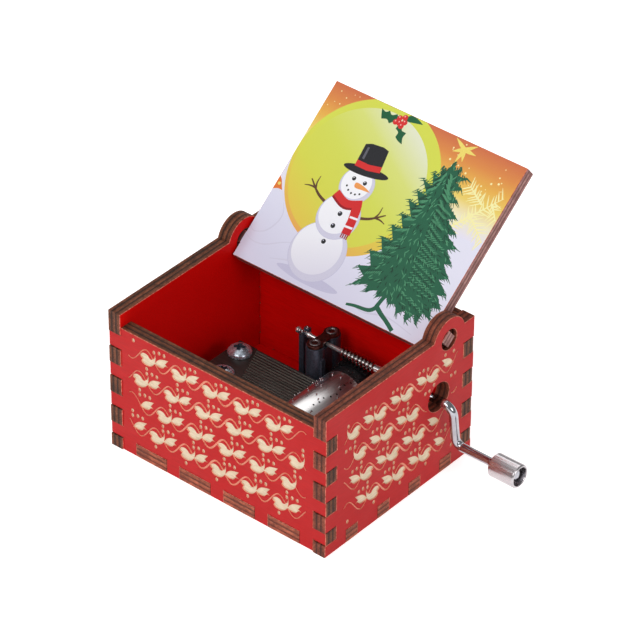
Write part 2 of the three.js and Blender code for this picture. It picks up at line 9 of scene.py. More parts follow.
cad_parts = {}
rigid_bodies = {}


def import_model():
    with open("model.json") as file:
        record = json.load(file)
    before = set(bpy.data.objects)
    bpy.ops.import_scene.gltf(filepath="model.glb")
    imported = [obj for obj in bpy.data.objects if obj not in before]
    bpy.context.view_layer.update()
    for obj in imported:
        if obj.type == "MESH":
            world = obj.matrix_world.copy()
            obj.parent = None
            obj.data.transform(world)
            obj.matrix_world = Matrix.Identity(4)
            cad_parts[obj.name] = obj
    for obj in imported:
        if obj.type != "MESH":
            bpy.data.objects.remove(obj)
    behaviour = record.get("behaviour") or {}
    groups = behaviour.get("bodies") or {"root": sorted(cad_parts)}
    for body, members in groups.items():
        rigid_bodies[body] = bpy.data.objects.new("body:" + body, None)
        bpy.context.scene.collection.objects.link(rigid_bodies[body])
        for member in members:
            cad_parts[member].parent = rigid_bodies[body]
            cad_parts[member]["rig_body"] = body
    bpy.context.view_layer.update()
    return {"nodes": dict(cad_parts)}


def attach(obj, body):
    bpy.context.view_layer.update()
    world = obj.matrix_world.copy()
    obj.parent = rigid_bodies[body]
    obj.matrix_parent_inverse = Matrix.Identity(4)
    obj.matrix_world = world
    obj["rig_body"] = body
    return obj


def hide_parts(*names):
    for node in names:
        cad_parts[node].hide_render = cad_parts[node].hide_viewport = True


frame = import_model()


MM = 0.001

# ------------------------------------------------------------------ dimensions (mm)
HALF_LENGTH, HALF_DEPTH, PANEL = 32.0, 25.7, 3.6
SIDE_HEIGHT, FRONT_HEIGHT, PROUD, KERF = 38.0, 34.4, 0.2, 0.1
SIDE_FINGERS = [(0, 3.3), (6.8, 11.4), (15.3, 19.9), (23.7, 28.2), (32.3, SIDE_HEIGHT)]
LONG_TABS, LONG_TAB_WIDTH = (-19.75, -6.6, 6.6, 19.75), 9.1
SHORT_TABS, SHORT_TAB_WIDTH = (-16.6, -5.5, 5.5, 16.6), 3.9
HINGE_Y, HINGE_Z, EAR_RADIUS, PEG_HOLE = 16.85, 36.35, 5.65, 2.65
LID_THICKNESS, LID_HALF_WIDTH, LID_FRONT, LID_TAIL = 3.5, 27.95, 42.4, 4.8
PEG_WIDTH, PEG_END, LID_ANGLE = 3.0, 31.7, math.radians(38.6)
SHAFT_Y, SHAFT_Z, WIRE, PIVOT = 13.75, 21.15, 1.05, 0.55
ARM_X, HANDLE_Y, HANDLE_Z, UPPER, LOWER = 35.9, 15.27, 9.85, 2.8, 2.1
CRANK_HOLE = (13.57, 22.2, 3.75)
KNOB_START, KNOB_END, KNOB_R = 47.1, 54.35, 2.9
DRUM_X, DRUM_Z, DRUM_R, DRUM_BORE, DRUM_FRONT, DRUM_REAR = 8.0, 13.05, 6.5, 5.8, -9.0, 9.5
PIN_R, TEETH, TOOTH_PITCH, REAR_TOOTH_Y = 6.9, 18, 0.86, 7.7
WORM_PITCH = 2 * math.pi * 6.85 / 40
WORM_PR = SHAFT_Z - DRUM_Z - 6.85
COMB_SCREWS = [(-19.3, 4.4), (-16.7, -4.7)]
COMB_TOP, BRACKET_TOP, BRACKET_X, BRACKET_Y = 15.0, 21.85, -2.0, (10.75, 16.75)
MOUNT_SCREWS = [(-20.5, 12.6), (-5.5, -9.6), (14.2, 16.6)]

# ------------------------------------------------------------------ camera
camera = bpy.data.objects.new("camera", bpy.data.cameras.new("camera"))
bpy.context.scene.collection.objects.link(camera)
bpy.context.scene.camera = camera
camera.data.sensor_width = 36.0
camera.data.lens = 232.47
camera.data.clip_start = 0.05
camera.data.clip_end = 20.0
back = Vector((0.5183, -0.6212, 0.5878)).normalized()
right = Vector((0, 0, 1)).cross(back).normalized()
up = back.cross(right)
roll = math.radians(0.482)
right2 = math.cos(roll) * right + math.sin(roll) * up
up2 = -math.sin(roll) * right + math.cos(roll) * up
pose = Matrix((right2, up2, back)).transposed().to_4x4()
pose.translation = Vector((0.48554, -0.57186, 0.58101))
camera.matrix_world = pose

# ------------------------------------------------------------------ shader helpers


def lin(r, g, b):
    return tuple(((c / 255) / 12.92 if c / 255 <= 0.04045 else ((c / 255 + 0.055) / 1.055) ** 2.4) for c in (r, g, b)) + (1.0,)


class Look:
    """A node material being put together."""

    def __init__(self, name, **values):
        self.m = bpy.data.materials.new(name)
        self.m.use_nodes = True
        self.nt = self.m.node_tree
        self.b = self.nt.nodes["Principled BSDF"]
        for k, v in values.items():
            self.b.inputs[k.replace("_", " ")].default_value = v
        self.coord = None

    def new(self, kind, **attrs):
        n = self.nt.nodes.new(kind)
        for k, v in attrs.items():
            setattr(n, k, v)
        return n

    def link(self, a, b):
        self.nt.links.new(a, b)

    def object_coords(self, scale=(1, 1, 1), rotation=(0, 0, 0)):
        if self.coord is None:
            self.coord = self.new("ShaderNodeTexCoord")
        m = self.new("ShaderNodeMapping")
        m.inputs["Scale"].default_value = scale
        m.inputs["Rotation"].default_value = rotation
        self.link(self.coord.outputs["Object"], m.inputs["Vector"])
        return m.outputs["Vector"]

    def noise(self, vector, scale, detail=4.0, rough=0.55, distortion=0.0):
        n = self.new("ShaderNodeTexNoise")
        n.inputs["Scale"].default_value = scale
        n.inputs["Detail"].default_value = detail
        n.inputs["Roughness"].default_value = rough
        n.inputs["Distortion"].default_value = distortion
        self.link(vector, n.inputs["Vector"])
        return n.outputs["Fac"]

    def ramp(self, fac, stops, mode="LINEAR"):
        r = self.new("ShaderNodeValToRGB")
        r.color_ramp.interpolation = mode
        e = r.color_ramp.elements
        while len(e) < len(stops):
            e.new(0.5)
        for el, (pos, col) in zip(e, stops):
            el.position = pos
            el.color = col if len(col) == 4 else tuple(col) + (1.0,)
        self.link(fac, r.inputs["Fac"])
        return r.outputs["Color"]

    def range(self, value, a, b, c, d):
        n = self.new("ShaderNodeMapRange")
        for k, v in zip(("From Min", "From Max", "To Min", "To Max"), (a, b, c, d)):
            n.inputs[k].default_value = v
        self.link(value, n.inputs["Value"])
        return n.outputs["Result"]

    def mix(self, fac, a, b, blend="MIX"):
        n = self.new("ShaderNodeMix", data_type="RGBA", blend_type=blend)
        for socket, v in ((n.inputs["Factor"], fac), (n.inputs[6], a), (n.inputs[7], b)):
            if isinstance(v, bpy.types.NodeSocket):
                self.link(v, socket)
            else:
                socket.default_value = v
        return n.outputs[2]

    def split(self, vector):
        n = self.new("ShaderNodeSeparateXYZ")
        self.link(vector, n.inputs["Vector"])
        return n.outputs

    def colour(self, socket):
        self.link(socket, self.b.inputs["Base Color"])

    def rough(self, socket):
        self.link(socket, self.b.inputs["Roughness"])

    def bump(self, height, strength, distance):
        n = self.new("ShaderNodeBump")
        n.inputs["Strength"].default_value = strength
        n.inputs["Distance"].default_value = distance
        self.link(height, n.inputs["Height"])
        self.link(n.outputs["Normal"], self.b.inputs["Normal"])


def along(axis, short, long):
    """Coordinate scale of a grain that runs along an axis."""
    return tuple(long if k == axis else short for k in range(3))


def red_paint(name, grain, tone=(182, 16, 18), gloss=0.2):
    k = Look(name)
    v = k.object_coords(along(grain, 1.0, 0.12))
    streak = k.noise(v, 2600, 5, 0.6)
    patch = k.noise(k.object_coords(), 90, 3, 0.5)
    fine = k.noise(v, 9000, 3, 0.7)
    base = k.ramp(streak, [(0.25, lin(*[int(c * 0.93) for c in tone])), (0.55, lin(*tone)), (0.8, lin(*[min(255, int(c * 1.03) + 3) for c in tone]))])
    base = k.mix(k.range(patch, 0.35, 0.7, 0.0, 0.3), base, lin(*[int(c * 0.95) for c in tone]))
    base = k.mix(k.range(fine, 0.66, 0.82, 0.0, 0.35), base, lin(*[int(c * 0.8) for c in tone]))
    k.colour(base)
    k.rough(k.range(patch, 0.3, 0.7, 0.5, 0.62))
    k.bump(streak, 0.2, 0.00003)
    k.b.inputs["Specular IOR Level"].default_value = gloss
    return k.m


def bare_wood(name, grain):
    k = Look(name, Specular_IOR_Level=0.2)
    v = k.object_coords(along(grain, 1.0, 0.2))
    streak = k.noise(v, 2200, 5, 0.65)
    speck = k.noise(k.object_coords(), 4200, 4, 0.7)
    base = k.ramp(streak, [(0.28, lin(198, 178, 148)), (0.5, lin(217, 200, 172)), (0.75, lin(230, 216, 192))])
    base = k.mix(k.range(speck, 0.55, 0.8, 0.0, 0.5), base, lin(196, 150, 108))
    k.colour(base)
    k.rough(k.range(streak, 0.3, 0.7, 0.7, 0.85))
    k.bump(speck, 0.5, 0.00006)
    return k.m


def groove_wall(name):
    k = Look(name, Specular_IOR_Level=0.2)
    n = k.noise(k.object_coords(), 3000, 3, 0.6)
    k.colour(k.ramp(n, [(0.3, lin(222, 142, 116)), (0.7, lin(240, 184, 154))]))
    k.rough(k.range(n, 0.3, 0.7, 0.7, 0.85))
    return k.m


def burnt_edge(name, axis, start, thick, grain, tones, rotation=(0, 0, 0)):
    """Laser cut plywood edge: plies across the thickness, scorched unevenly along the cut."""
    k = Look(name, Specular_IOR_Level=0.25)
    flat = k.split(k.object_coords())
    across = k.range(flat[axis], start * MM, (start + thick) * MM, 0.0, 1.0)
    light, mid, dark = tones
    wobble = k.noise(k.object_coords(along(grain, 1.0, 0.25)), 700, 3, 0.6)
    shift = k.new("ShaderNodeMath", operation="MULTIPLY_ADD")
    k.link(wobble, shift.inputs[0])
    shift.inputs[1].default_value = 0.07
    k.link(across, shift.inputs[2])
    plies = k.ramp(shift.outputs[0], [
        (0.02, lin(*dark)), (0.09, lin(*light)), (0.27, lin(*mid)), (0.34, lin(*dark)), (0.42, lin(*mid)),
        (0.58, lin(*light)), (0.70, lin(*dark)), (0.77, lin(*mid)), (0.95, lin(*light)), (1.0, lin(*dark))])
    v = k.object_coords(along(grain, 1.0, 0.3))
    streak = k.noise(v, 3400, 5, 0.7)
    base = k.mix(k.range(streak, 0.36, 0.7, 0.0, 0.75), plies, lin(*[int(c * 0.52) for c in dark]))
    scorch = k.noise(k.object_coords(), 320, 3, 0.6)
    base = k.mix(k.range(scorch, 0.42, 0.66, 0.0, 0.55), base, lin(*dark))
    k.colour(base)
    k.rough(k.range(streak, 0.3, 0.7, 0.55, 0.8))
    k.bump(streak, 0.6, 0.00012)
    return k.m


def metal(name, colour, rough, spread=0.06, metallic=1.0, grain=None, scale=1800, bump=0.0, tone=0.12, **values):
    k = Look(name, Metallic=metallic, **values)
    v = k.object_coords(along(grain, 1.0, 0.05) if grain is not None else (1, 1, 1))
    n = k.noise(v, scale, 4, 0.6)
    light = tuple(min(255, int(c * (1 + tone))) for c in colour)
    shade = tuple(int(c * (1 - tone)) for c in colour)
    k.colour(k.ramp(n, [(0.3, lin(*shade)), (0.7, lin(*light))]))
    k.rough(k.range(n, 0.3, 0.7, max(0.02, rough - spread), rough + spread))
    if bump:
        k.bump(n, bump, 0.00003)
    return k.m


RED_X = red_paint("red_paint_long", 0)
# inside faces: the same red paint as outside, made brighter and more saturated as painted light for the dim interior
# and its red bounce
RED_IN_PAINTED_LIGHT = red_paint("red_paint_inside_painted_light", 0, (222, 6, 3), 0.12)
RED_Y = red_paint("red_paint_short", 1, (178, 14, 17))
WOOD_X = bare_wood("engraved_wood_long", 0)
WOOD_Y = bare_wood("engraved_wood_short", 1)
GROOVE = groove_wall("engraved_side")
BROWN = ((150, 86, 56), (104, 58, 37), (30, 17, 12))
WARM = ((206, 116, 84), (176, 88, 62), (84, 38, 28))
PINK = ((202, 152, 146), (170, 118, 112), (100, 58, 54))
rim = Look("edge_rim", Specular_IOR_Level=0.2)
rim.colour(rim.ramp(rim.noise(rim.object_coords(), 1400, 3, 0.6), [(0.35, lin(150, 62, 48)), (0.65, lin(226, 128, 108))]))
rim.rough(rim.range(rim.noise(rim.object_coords(), 900, 3, 0.6), 0.3, 0.7, 0.55, 0.7))
RIM = rim.m


def vine_wood(name):
    """Fine engraved lines: shallow, with some of the paint's colour left in them."""
    k = Look(name, Specular_IOR_Level=0.2)
    n = k.noise(k.object_coords(), 3600, 4, 0.6)
    k.colour(k.ramp(n, [(0.3, lin(222, 136, 116)), (0.5, lin(232, 164, 140)), (0.72, lin(238, 190, 164))]))
    k.rough(k.range(n, 0.3, 0.7, 0.66, 0.84))
    k.bump(n, 0.4, 0.00004)
    return k.m


VINE = vine_wood("engraved_line")
EDGE_FRONT = burnt_edge("edge_front", 1, -HALF_DEPTH, PANEL, 0, BROWN)
EDGE_BACK = burnt_edge("edge_back", 1, HALF_DEPTH - PANEL, PANEL, 0, BROWN)
EDGE_RIGHT = burnt_edge("edge_right", 0, HALF_LENGTH - PANEL, PANEL, 1, ((164, 86, 60), (132, 66, 47), (50, 24, 18)))
EDGE_LEFT = burnt_edge("edge_left", 0, -HALF_LENGTH, PANEL, 1, BROWN)
EDGE_BOTTOM = burnt_edge("edge_bottom", 2, 0.0, PANEL, 0, WARM)
EDGE_LID = burnt_edge("edge_lid", 2, -LID_THICKNESS / 2, LID_THICKNESS, 1, PINK)

# ------------------------------------------------------------------ flat outlines


def offset_polygon(points, d):
    """Points of a polygon moved inwards by d (counter-clockwise polygon)."""
    n = len(points)
    out = []
    for i in range(n):
        a, b, c = (np.array(points[(i + k) % n], float) for k in (-1, 0, 1))
        e0, e1 = b - a, c - b
        e0 /= np.linalg.norm(e0)
        e1 /= np.linalg.norm(e1)
        n0, n1 = np.array((-e0[1], e0[0])), np.array((-e1[1], e1[0]))
        m = n0 + n1
        m /= max(1e-9, 1 + float(n0 @ n1))
        out.append(tuple(b + m * d))
    return out


def area(points):
    p = np.array(points)
    q = np.roll(p, -1, 0)
    return 0.5 * float(np.sum(p[:, 0] * q[:, 1] - q[:, 0] * p[:, 1]))


def ccw(points):
    return list(points) if area(points) > 0 else list(points)[::-1]


def circle(u, v, r, n):
    return [(u + r * math.cos(2 * math.pi * i / n), v + r * math.sin(2 * math.pi * i / n)) for i in range(n)]


def inside(poly, pts):
    p = np.asarray(poly, float)
    lo, hi = p.min(0), p.max(0)
    hit = np.zeros(len(pts), bool)
    near = np.flatnonzero(((pts >= lo) & (pts <= hi)).all(1))
    if not len(near):
        return hit
    x, y = pts[near, 0], pts[near, 1]
    w = np.zeros(len(near), int)
    for (x0, y0), (x1, y1) in zip(p, np.roll(p, -1, 0)):
        cross = (x1 - x0) * (y - y0) - (x - x0) * (y1 - y0)
        w += ((y0 <= y) & (y1 > y) & (cross > 0)).astype(int)
        w -= ((y0 > y) & (y1 <= y) & (cross < 0)).astype(int)
    hit[near] = w != 0
    return hit


def sheet(outline, holes, shapes):
    """Triangles of a flat face, each with the class of the last shape that holds it (0 where none does)."""
    pts, edges = [], []
    for poly in [outline] + list(holes) + [s[0] for s in shapes]:
        base = len(pts)
        pts += [Vector((float(a), float(b))) for a, b in poly]
        edges += [(base + i, base + (i + 1) % len(poly)) for i in range(len(poly))]
    verts, _, tris, *_ = geometry.delaunay_2d_cdt(pts, edges, [], 0, 1e-5, False)
    v = np.array([tuple(p) for p in verts])
    t = np.array([list(f) for f in tris], int)
    mid = v[t].mean(1)
    keep = inside(outline, mid)
    for h in holes:
        keep &= ~inside(h, mid)
    kind = np.zeros(len(t), int)
    for poly, value in shapes:
        kind[inside(poly, mid)] = value
    t, kind = t[keep], kind[keep]
    a, b, c = v[t[:, 0]], v[t[:, 1]], v[t[:, 2]]
    sign = (b[:, 0] - a[:, 0]) * (c[:, 1] - a[:, 1]) - (b[:, 1] - a[:, 1]) * (c[:, 0] - a[:, 0])
    t[sign < 0] = t[sign < 0][:, ::-1]
    big = np.abs(sign) > 1e-9
    return v, t[big], kind[big]


def panel(name, outline, holes, thick, place, outer, inner, materials, body, node, matrix=None, chamfer=0.13):
    """A plywood panel. place(u, v, w) gives its points, w running from the outer face (0) inwards.
    outer and inner are (shapes, {class: (material index, depth)}) of its two faces."""
    mesh_v, mesh_f, mesh_m, index = [], [], [], {}

    def vert(u, v, w):
        key = (round(u, 5), round(v, 5), round(w, 5))
        if key not in index:
            index[key] = len(mesh_v)
            mesh_v.append([c * MM for c in place(u, v, w)])
        return index[key]

    def face(ids, m):
        ids = [i for k, i in enumerate(ids) if i != ids[k - 1]]
        if len(ids) > 2:
            mesh_f.append(ids)
            mesh_m.append(m)

    outline = ccw(outline)
    holes = [ccw(h) for h in holes]
    out_in = offset_polygon(outline, chamfer)
    holes_in = [offset_polygon(h, -chamfer) for h in holes]
    for (shapes, kinds), level, sign in ((outer, 0.0, 1), (inner, thick, -1)):
        v, t, kind = sheet(out_in, holes_in, shapes)
        depth = {k: level + sign * d for k, (_, d) in kinds.items()}
        sides = {}
        for tri, k in zip(t, kind):
            ids = [vert(*v[i], depth[k]) for i in tri]
            face(ids if sign > 0 else ids[::-1], kinds[k][0])
            for a, b in zip(tri, np.roll(tri, -1)):
                sides[(int(a), int(b))] = int(k)
        for (a, b), k in sides.items():
            other = sides.get((b, a))
            if other is not None and a < b and abs(depth[k] - depth[other]) > 1e-9:
                if (depth[k] - depth[other]) * sign > 0:
                    ids = [vert(*v[b], depth[k]), vert(*v[a], depth[k]), vert(*v[a], depth[other]), vert(*v[b], depth[other])]
                else:
                    ids = [vert(*v[a], depth[other]), vert(*v[b], depth[other]), vert(*v[b], depth[k]), vert(*v[a], depth[k])]
                face(ids if sign > 0 else ids[::-1], 2)
    for loop, loop_in, hole in [(outline, out_in, False)] + [(h, hi, True) for h, hi in zip(holes, holes_in)]:
        n = len(loop)
        for i in range(n):
            j = (i + 1) % n
            a, b, ai, bi = loop[i], loop[j], loop_in[i], loop_in[j]
            for quad, m in (
                ([vert(*ai, 0), vert(*a, chamfer), vert(*b, chamfer), vert(*bi, 0)], 4),
                ([vert(*a, chamfer), vert(*a, thick - chamfer), vert(*b, thick - chamfer), vert(*b, chamfer)], 3),
                ([vert(*a, thick - chamfer), vert(*ai, thick), vert(*bi, thick), vert(*b, thick - chamfer)], 4),
            ):
                face(quad[::-1] if hole else quad, m)
    mesh = bpy.data.meshes.new(name)
    mesh.from_pydata(mesh_v, [], mesh_f)
    for m in materials:
        mesh.materials.append(m)
    for p, m in zip(mesh.polygons, mesh_m):
        p.material_index = m
    mesh.update()
    bm = bmesh.new()
    bm.from_mesh(mesh)
    bmesh.ops.recalc_face_normals(bm, faces=bm.faces)
    bm.to_mesh(mesh)
    bm.free()
    o = bpy.data.objects.new(name, mesh)
    bpy.context.scene.collection.objects.link(o)
    if matrix is not None:
        o.matrix_world = matrix
    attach(o, body)
    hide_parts(node)
    return o


# ------------------------------------------------------------------ curves drawn in the plane


def curve(points, closed=True, sharp=(), steps=5):
    """A smooth line through the points, with corners kept at the indices in sharp."""
    p = [np.array(q, float) for q in points]
    n = len(p)
    out = []
    for i in range(n if closed else n - 1):
        j = (i + 1) % n
        h = (i - 1) % n if closed or i > 0 else i
        k = (i + 2) % n if closed or i < n - 2 else j
        a = p[i] if i in sharp else p[h]
        b = p[j] if j in sharp else p[k]
        if i in sharp:
            a = 2 * p[i] - p[j]
        if j in sharp:
            b = 2 * p[j] - p[i]
        for s in range(steps):
            t = s / steps
            out.append(tuple(0.5 * ((2 * p[i]) + (p[j] - a) * t + (2 * a - 5 * p[i] + 4 * p[j] - b) * t * t
                                    + (-a + 3 * p[i] - 3 * p[j] + b) * t ** 3)))
    if not closed:
        out.append(tuple(p[-1]))
    return out


def stroke(line, w0, w1=None, w2=None):
    """A closed outline round a line, its half width going w0, w1, w2 along it."""
    w1 = w0 if w1 is None else w1
    w2 = w0 if w2 is None else w2
    p = np.array(line, float)
    d = np.gradient(p, axis=0)
    d /= np.maximum(1e-9, np.linalg.norm(d, axis=1))[:, None]
    nrm = np.stack([-d[:, 1], d[:, 0]], 1)
    t = np.linspace(0, 1, len(p))
    w = np.where(t < 0.5, w0 + (w1 - w0) * t * 2, w1 + (w2 - w1) * (t * 2 - 1))[:, None]
    return [tuple(q) for q in np.concatenate([p + nrm * w, (p - nrm * w)[::-1]])]


def turned(points, angle=0.0, at=(0, 0), scale=1.0, flip=1):
    scale *= FULLER.get(len(points), 1.0)
    c, s = math.cos(math.radians(angle)), math.sin(math.radians(angle))
    out = []
    for x, y in points:
        x, y = x * scale * flip, y * scale
        out.append((at[0] + c * x - s * y, at[1] + s * x + c * y))
    return out


BUD = curve([(0.0, -2.75), (0.95, -1.45), (1.25, -0.2), (0.85, 0.75), (1.15, 1.75), (0.25, 1.05), (-0.55, 2.75),
             (-0.95, 1.2), (-1.1, 0.0), (-0.8, -1.3)], True, (0, 4, 5, 6), 4)
CURL = curve([(3.0, 2.4), (2.7, 0.75), (1.95, -0.7), (0.6, -1.5), (-0.8, -1.4), (-1.55, -0.75), (-1.15, 0.0),
              (-1.8, 0.5), (-1.4, 1.2), (-0.45, 1.55), (0.5, 1.25), (1.05, 0.55), (1.6, 0.5), (2.35, 1.1)],
             True, (0, 6, 7), 4)
DOT = [(0.42 * math.cos(t), 0.56 * math.sin(t)) for t in [2 * math.pi * i / 10 for i in range(10)]]
FULLER = {len(BUD): 1.12, len(CURL): 1.16, len(DOT): 1.18}


def ornament(window, mirror, holes):
    """Rows of a running vine with a leaf in every bend and dots between the rows, as outlines that fill the window."""
    out = []
    lines = []
    middle = (window[0] + window[1]) / 2
    rows = max(2, round((window[3] - window[2]) / 7.0))
    pitch = (window[3] - window[2]) / rows
    wave = 9.2

    def flipped(x):
        return 2 * middle - x if mirror else x

    def put(poly, clip=0.15):
        q = [(flipped(x), y) for x, y in poly]
        p = np.array(q)
        if p[:, 0].min() < window[0] - clip or p[:, 0].max() > window[1] + clip:
            return
        if p[:, 1].min() < window[2] - clip or p[:, 1].max() > window[3] + clip:
            return
        for hu, hv, hr in holes:
            if (np.hypot(p[:, 0] - hu, p[:, 1] - hv) < hr + 0.45).any():
                return
        out.append(q)

    for row in range(rows):
        y0 = window[2] + pitch * (row + 0.5)
        shift = wave * 0.25 * (row % 4)
        for k in range(-6, 7):
            x = middle + wave * k + shift
            put(turned(CURL, 8, (x, y0 - 0.55), 0.92))
            put(turned(BUD, -62, (x + wave / 2, y0 + 0.55), 0.84))
            for dx, dy in ((0.25, 2.5), (0.42, 3.0), (0.58, 3.0)):
                put(turned(DOT, 0, (x + wave * dx, y0 + dy), 0.85))
            put(turned(DOT, 0, (x, y0 - 3.1), 0.85))
        run = []
        for x in list(np.arange(window[0], window[1] + 0.01, 0.4)) + [None]:
            if x is not None:
                u, v = flipped(x), y0 + 2.15 * math.cos(2 * math.pi * (x - middle - shift) / wave)
                if all(math.hypot(u - hu, v - hv) > hr + 0.6 for hu, hv, hr in holes):
                    run.append((u, v))
                    continue
            if len(run) > 3:
                lines.append((stroke(run, 0.12, 0.24, 0.12), 2))
            run = []
    return lines + [(q, 1) for q in out]


# ------------------------------------------------------------------ case
def finger_edge(inner, outer, top, side_turn):
    pts, levels, z, g = [], [], 0.0, KERF / 2
    for a, b in SIDE_FINGERS:
        if a > z:
            levels.append((z, a, False))
        levels.append((a, b, True))
        z = b
    for a, b, side in levels:
        out = side == side_turn
        lo = 0 if a == 0 else a + (g if out else -g)
        hi = SIDE_HEIGHT if b >= SIDE_HEIGHT else b + (-g if out else g)
        if lo >= top:
            break
        hi = min(hi, top)
        x = outer if out else inner
        pts += [(x, lo), (x, hi)]
        if hi >= top:
            break
    return pts


def notches(tabs, width):
    pts = []
    for c in tabs:
        h = width / 2 + KERF / 2
        pts += [(c - h, 0), (c - h, PANEL + KERF), (c + h, PANEL + KERF), (c + h, 0)]
    return pts


def long_outline(height):
    r = finger_edge(HALF_LENGTH - PANEL - KERF / 2, HALF_LENGTH, height, False)
    return notches(LONG_TABS, LONG_TAB_WIDTH) + r + [(-a, z) for a, z in r][::-1]


def side_outline():
    rear = finger_edge(HALF_DEPTH - PANEL - KERF / 2, HALF_DEPTH + PROUD, SIDE_HEIGHT, True)
    start = math.asin((SIDE_HEIGHT - HINGE_Z) / EAR_RADIUS)
    ear = [(HINGE_Y + EAR_RADIUS * math.cos(t), HINGE_Z + EAR_RADIUS * math.sin(t))
           for t in [start + (math.pi - 2 * start) * i / 40 for i in range(41)]]
    return notches(SHORT_TABS, SHORT_TAB_WIDTH) + rear + ear + [(-a, z) for a, z in rear][::-1]


PLAIN = ([], {0: (0, 0.0)})
# inner faces take material 5, the brightened inside red: painted light
WITHIN = ([], {0: (5, 0.0)})
CUT = {0: (0, 0.0), 1: (1, 0.28), 2: (6, 0.28)}


def engraved(window, mirror, holes=()):
    return [(ccw(p), c) for p, c in ornament(window, mirror, holes)], CUT


panel("front_panel_cut", long_outline(FRONT_HEIGHT), [], PANEL, lambda u, v, w: (u, -HALF_DEPTH + w, v),
      engraved((-26.2, 26.2, 5.4, 33.3), False), WITHIN,
      [RED_X, WOOD_X, GROOVE, EDGE_FRONT, RIM, RED_IN_PAINTED_LIGHT, VINE], "case", "front_panel")
panel("back_panel_cut", long_outline(SIDE_HEIGHT), [], PANEL, lambda u, v, w: (-u, HALF_DEPTH - w, v),
      engraved((-26.2, 26.2, 5.4, 33.3), False), WITHIN,
      [RED_X, WOOD_X, GROOVE, EDGE_BACK, RIM, RED_IN_PAINTED_LIGHT, VINE], "case", "back_panel")
peg_hole = circle(HINGE_Y, HINGE_Z, PEG_HOLE, 48)
crank_hole = circle(*CRANK_HOLE, 56)
panel("right_panel_cut", side_outline(), [peg_hole, crank_hole], PANEL,
      lambda u, v, w: (HALF_LENGTH - w, u, v),
      engraved((-19.6, 20.0, 5.4, 33.3), True, [CRANK_HOLE, (HINGE_Y, HINGE_Z, PEG_HOLE)]), WITHIN,
      [RED_Y, WOOD_Y, GROOVE, EDGE_RIGHT, RIM, RED_IN_PAINTED_LIGHT, VINE], "case", "right_panel")
panel("left_panel_cut", side_outline(), [peg_hole], PANEL,
      lambda u, v, w: (-HALF_LENGTH + w, u, v),
      engraved((-19.6, 19.6, 5.4, 33.3), False, [(HINGE_Y, HINGE_Z, PEG_HOLE)]), WITHIN,
      [RED_Y, WOOD_Y, GROOVE, EDGE_LEFT, RIM, RED_IN_PAINTED_LIGHT, VINE], "case", "left_panel")


def bottom_outline():
    ix, iy = HALF_LENGTH - PANEL - KERF / 2, HALF_DEPTH - PANEL - KERF / 2

    def ends(tabs, w, a, b):
        out = []
        for c in tabs:
            out += [(c - w / 2, a), (c - w / 2, b), (c + w / 2, b), (c + w / 2, a)]
        return out
    front = ends(LONG_TABS, LONG_TAB_WIDTH, -iy, -HALF_DEPTH)
    right_run = [(b, a) for a, b in ends(SHORT_TABS, SHORT_TAB_WIDTH, ix, HALF_LENGTH)]
    return ([(-ix, -iy)] + front + [(ix, -iy)] + right_run + [(ix, iy)] + [(-a, -b) for a, b in front]
            + [(-ix, iy)] + [(-a, -b) for a, b in right_run])


panel("bottom_panel_cut", bottom_outline(), [circle(x, y, 2.85, 32) for x, y in MOUNT_SCREWS], PANEL,
      lambda u, v, w: (u, v, w), PLAIN, WITHIN, [RED_X, WOOD_X, GROOVE, EDGE_BOTTOM, RIM, RED_IN_PAINTED_LIGHT, VINE], "case", "bottom_panel", chamfer=0.1)

# ------------------------------------------------------------------ lid with its picture
# drawn in the lid's own plane: u across, v up from the hinge line; its inner face carries the picture


def ink(name, stops, direction=None, span=None, speckle=0.06, rough=0.42):
    """A printed colour: a gradient along a direction of the lid's plane, with the slight grain of the print."""
    k = Look(name, Specular_IOR_Level=0.35)
    fine = k.noise(k.object_coords(), 5200, 3, 0.6)
    if direction is None:
        base = k.ramp(fine, [(0.3, lin(*stops[0])), (0.7, lin(*stops[-1]))])
    else:
        part = k.split(k.object_coords())
        a = k.new("ShaderNodeMath", operation="MULTIPLY")
        k.link(part[0], a.inputs[0])
        a.inputs[1].default_value = direction[0]
        b = k.new("ShaderNodeMath", operation="MULTIPLY_ADD")
        k.link(part[1], b.inputs[0])
        b.inputs[1].default_value = direction[1]
        k.link(a.outputs[0], b.inputs[2])
        t = k.range(b.outputs[0], span[0] * MM, span[1] * MM, 0.0, 1.0)
        n = len(stops)
        base = k.ramp(t, [(i / (n - 1), lin(*c)) for i, c in enumerate(stops)])
        base = k.mix(k.range(fine, 0.5, 0.8, 0.0, speckle), base, lin(*[max(0, int(c * 0.8)) for c in stops[0]]))
    k.colour(base)
    k.rough(k.range(fine, 0.3, 0.7, rough - 0.04, rough + 0.06))
    return k.m


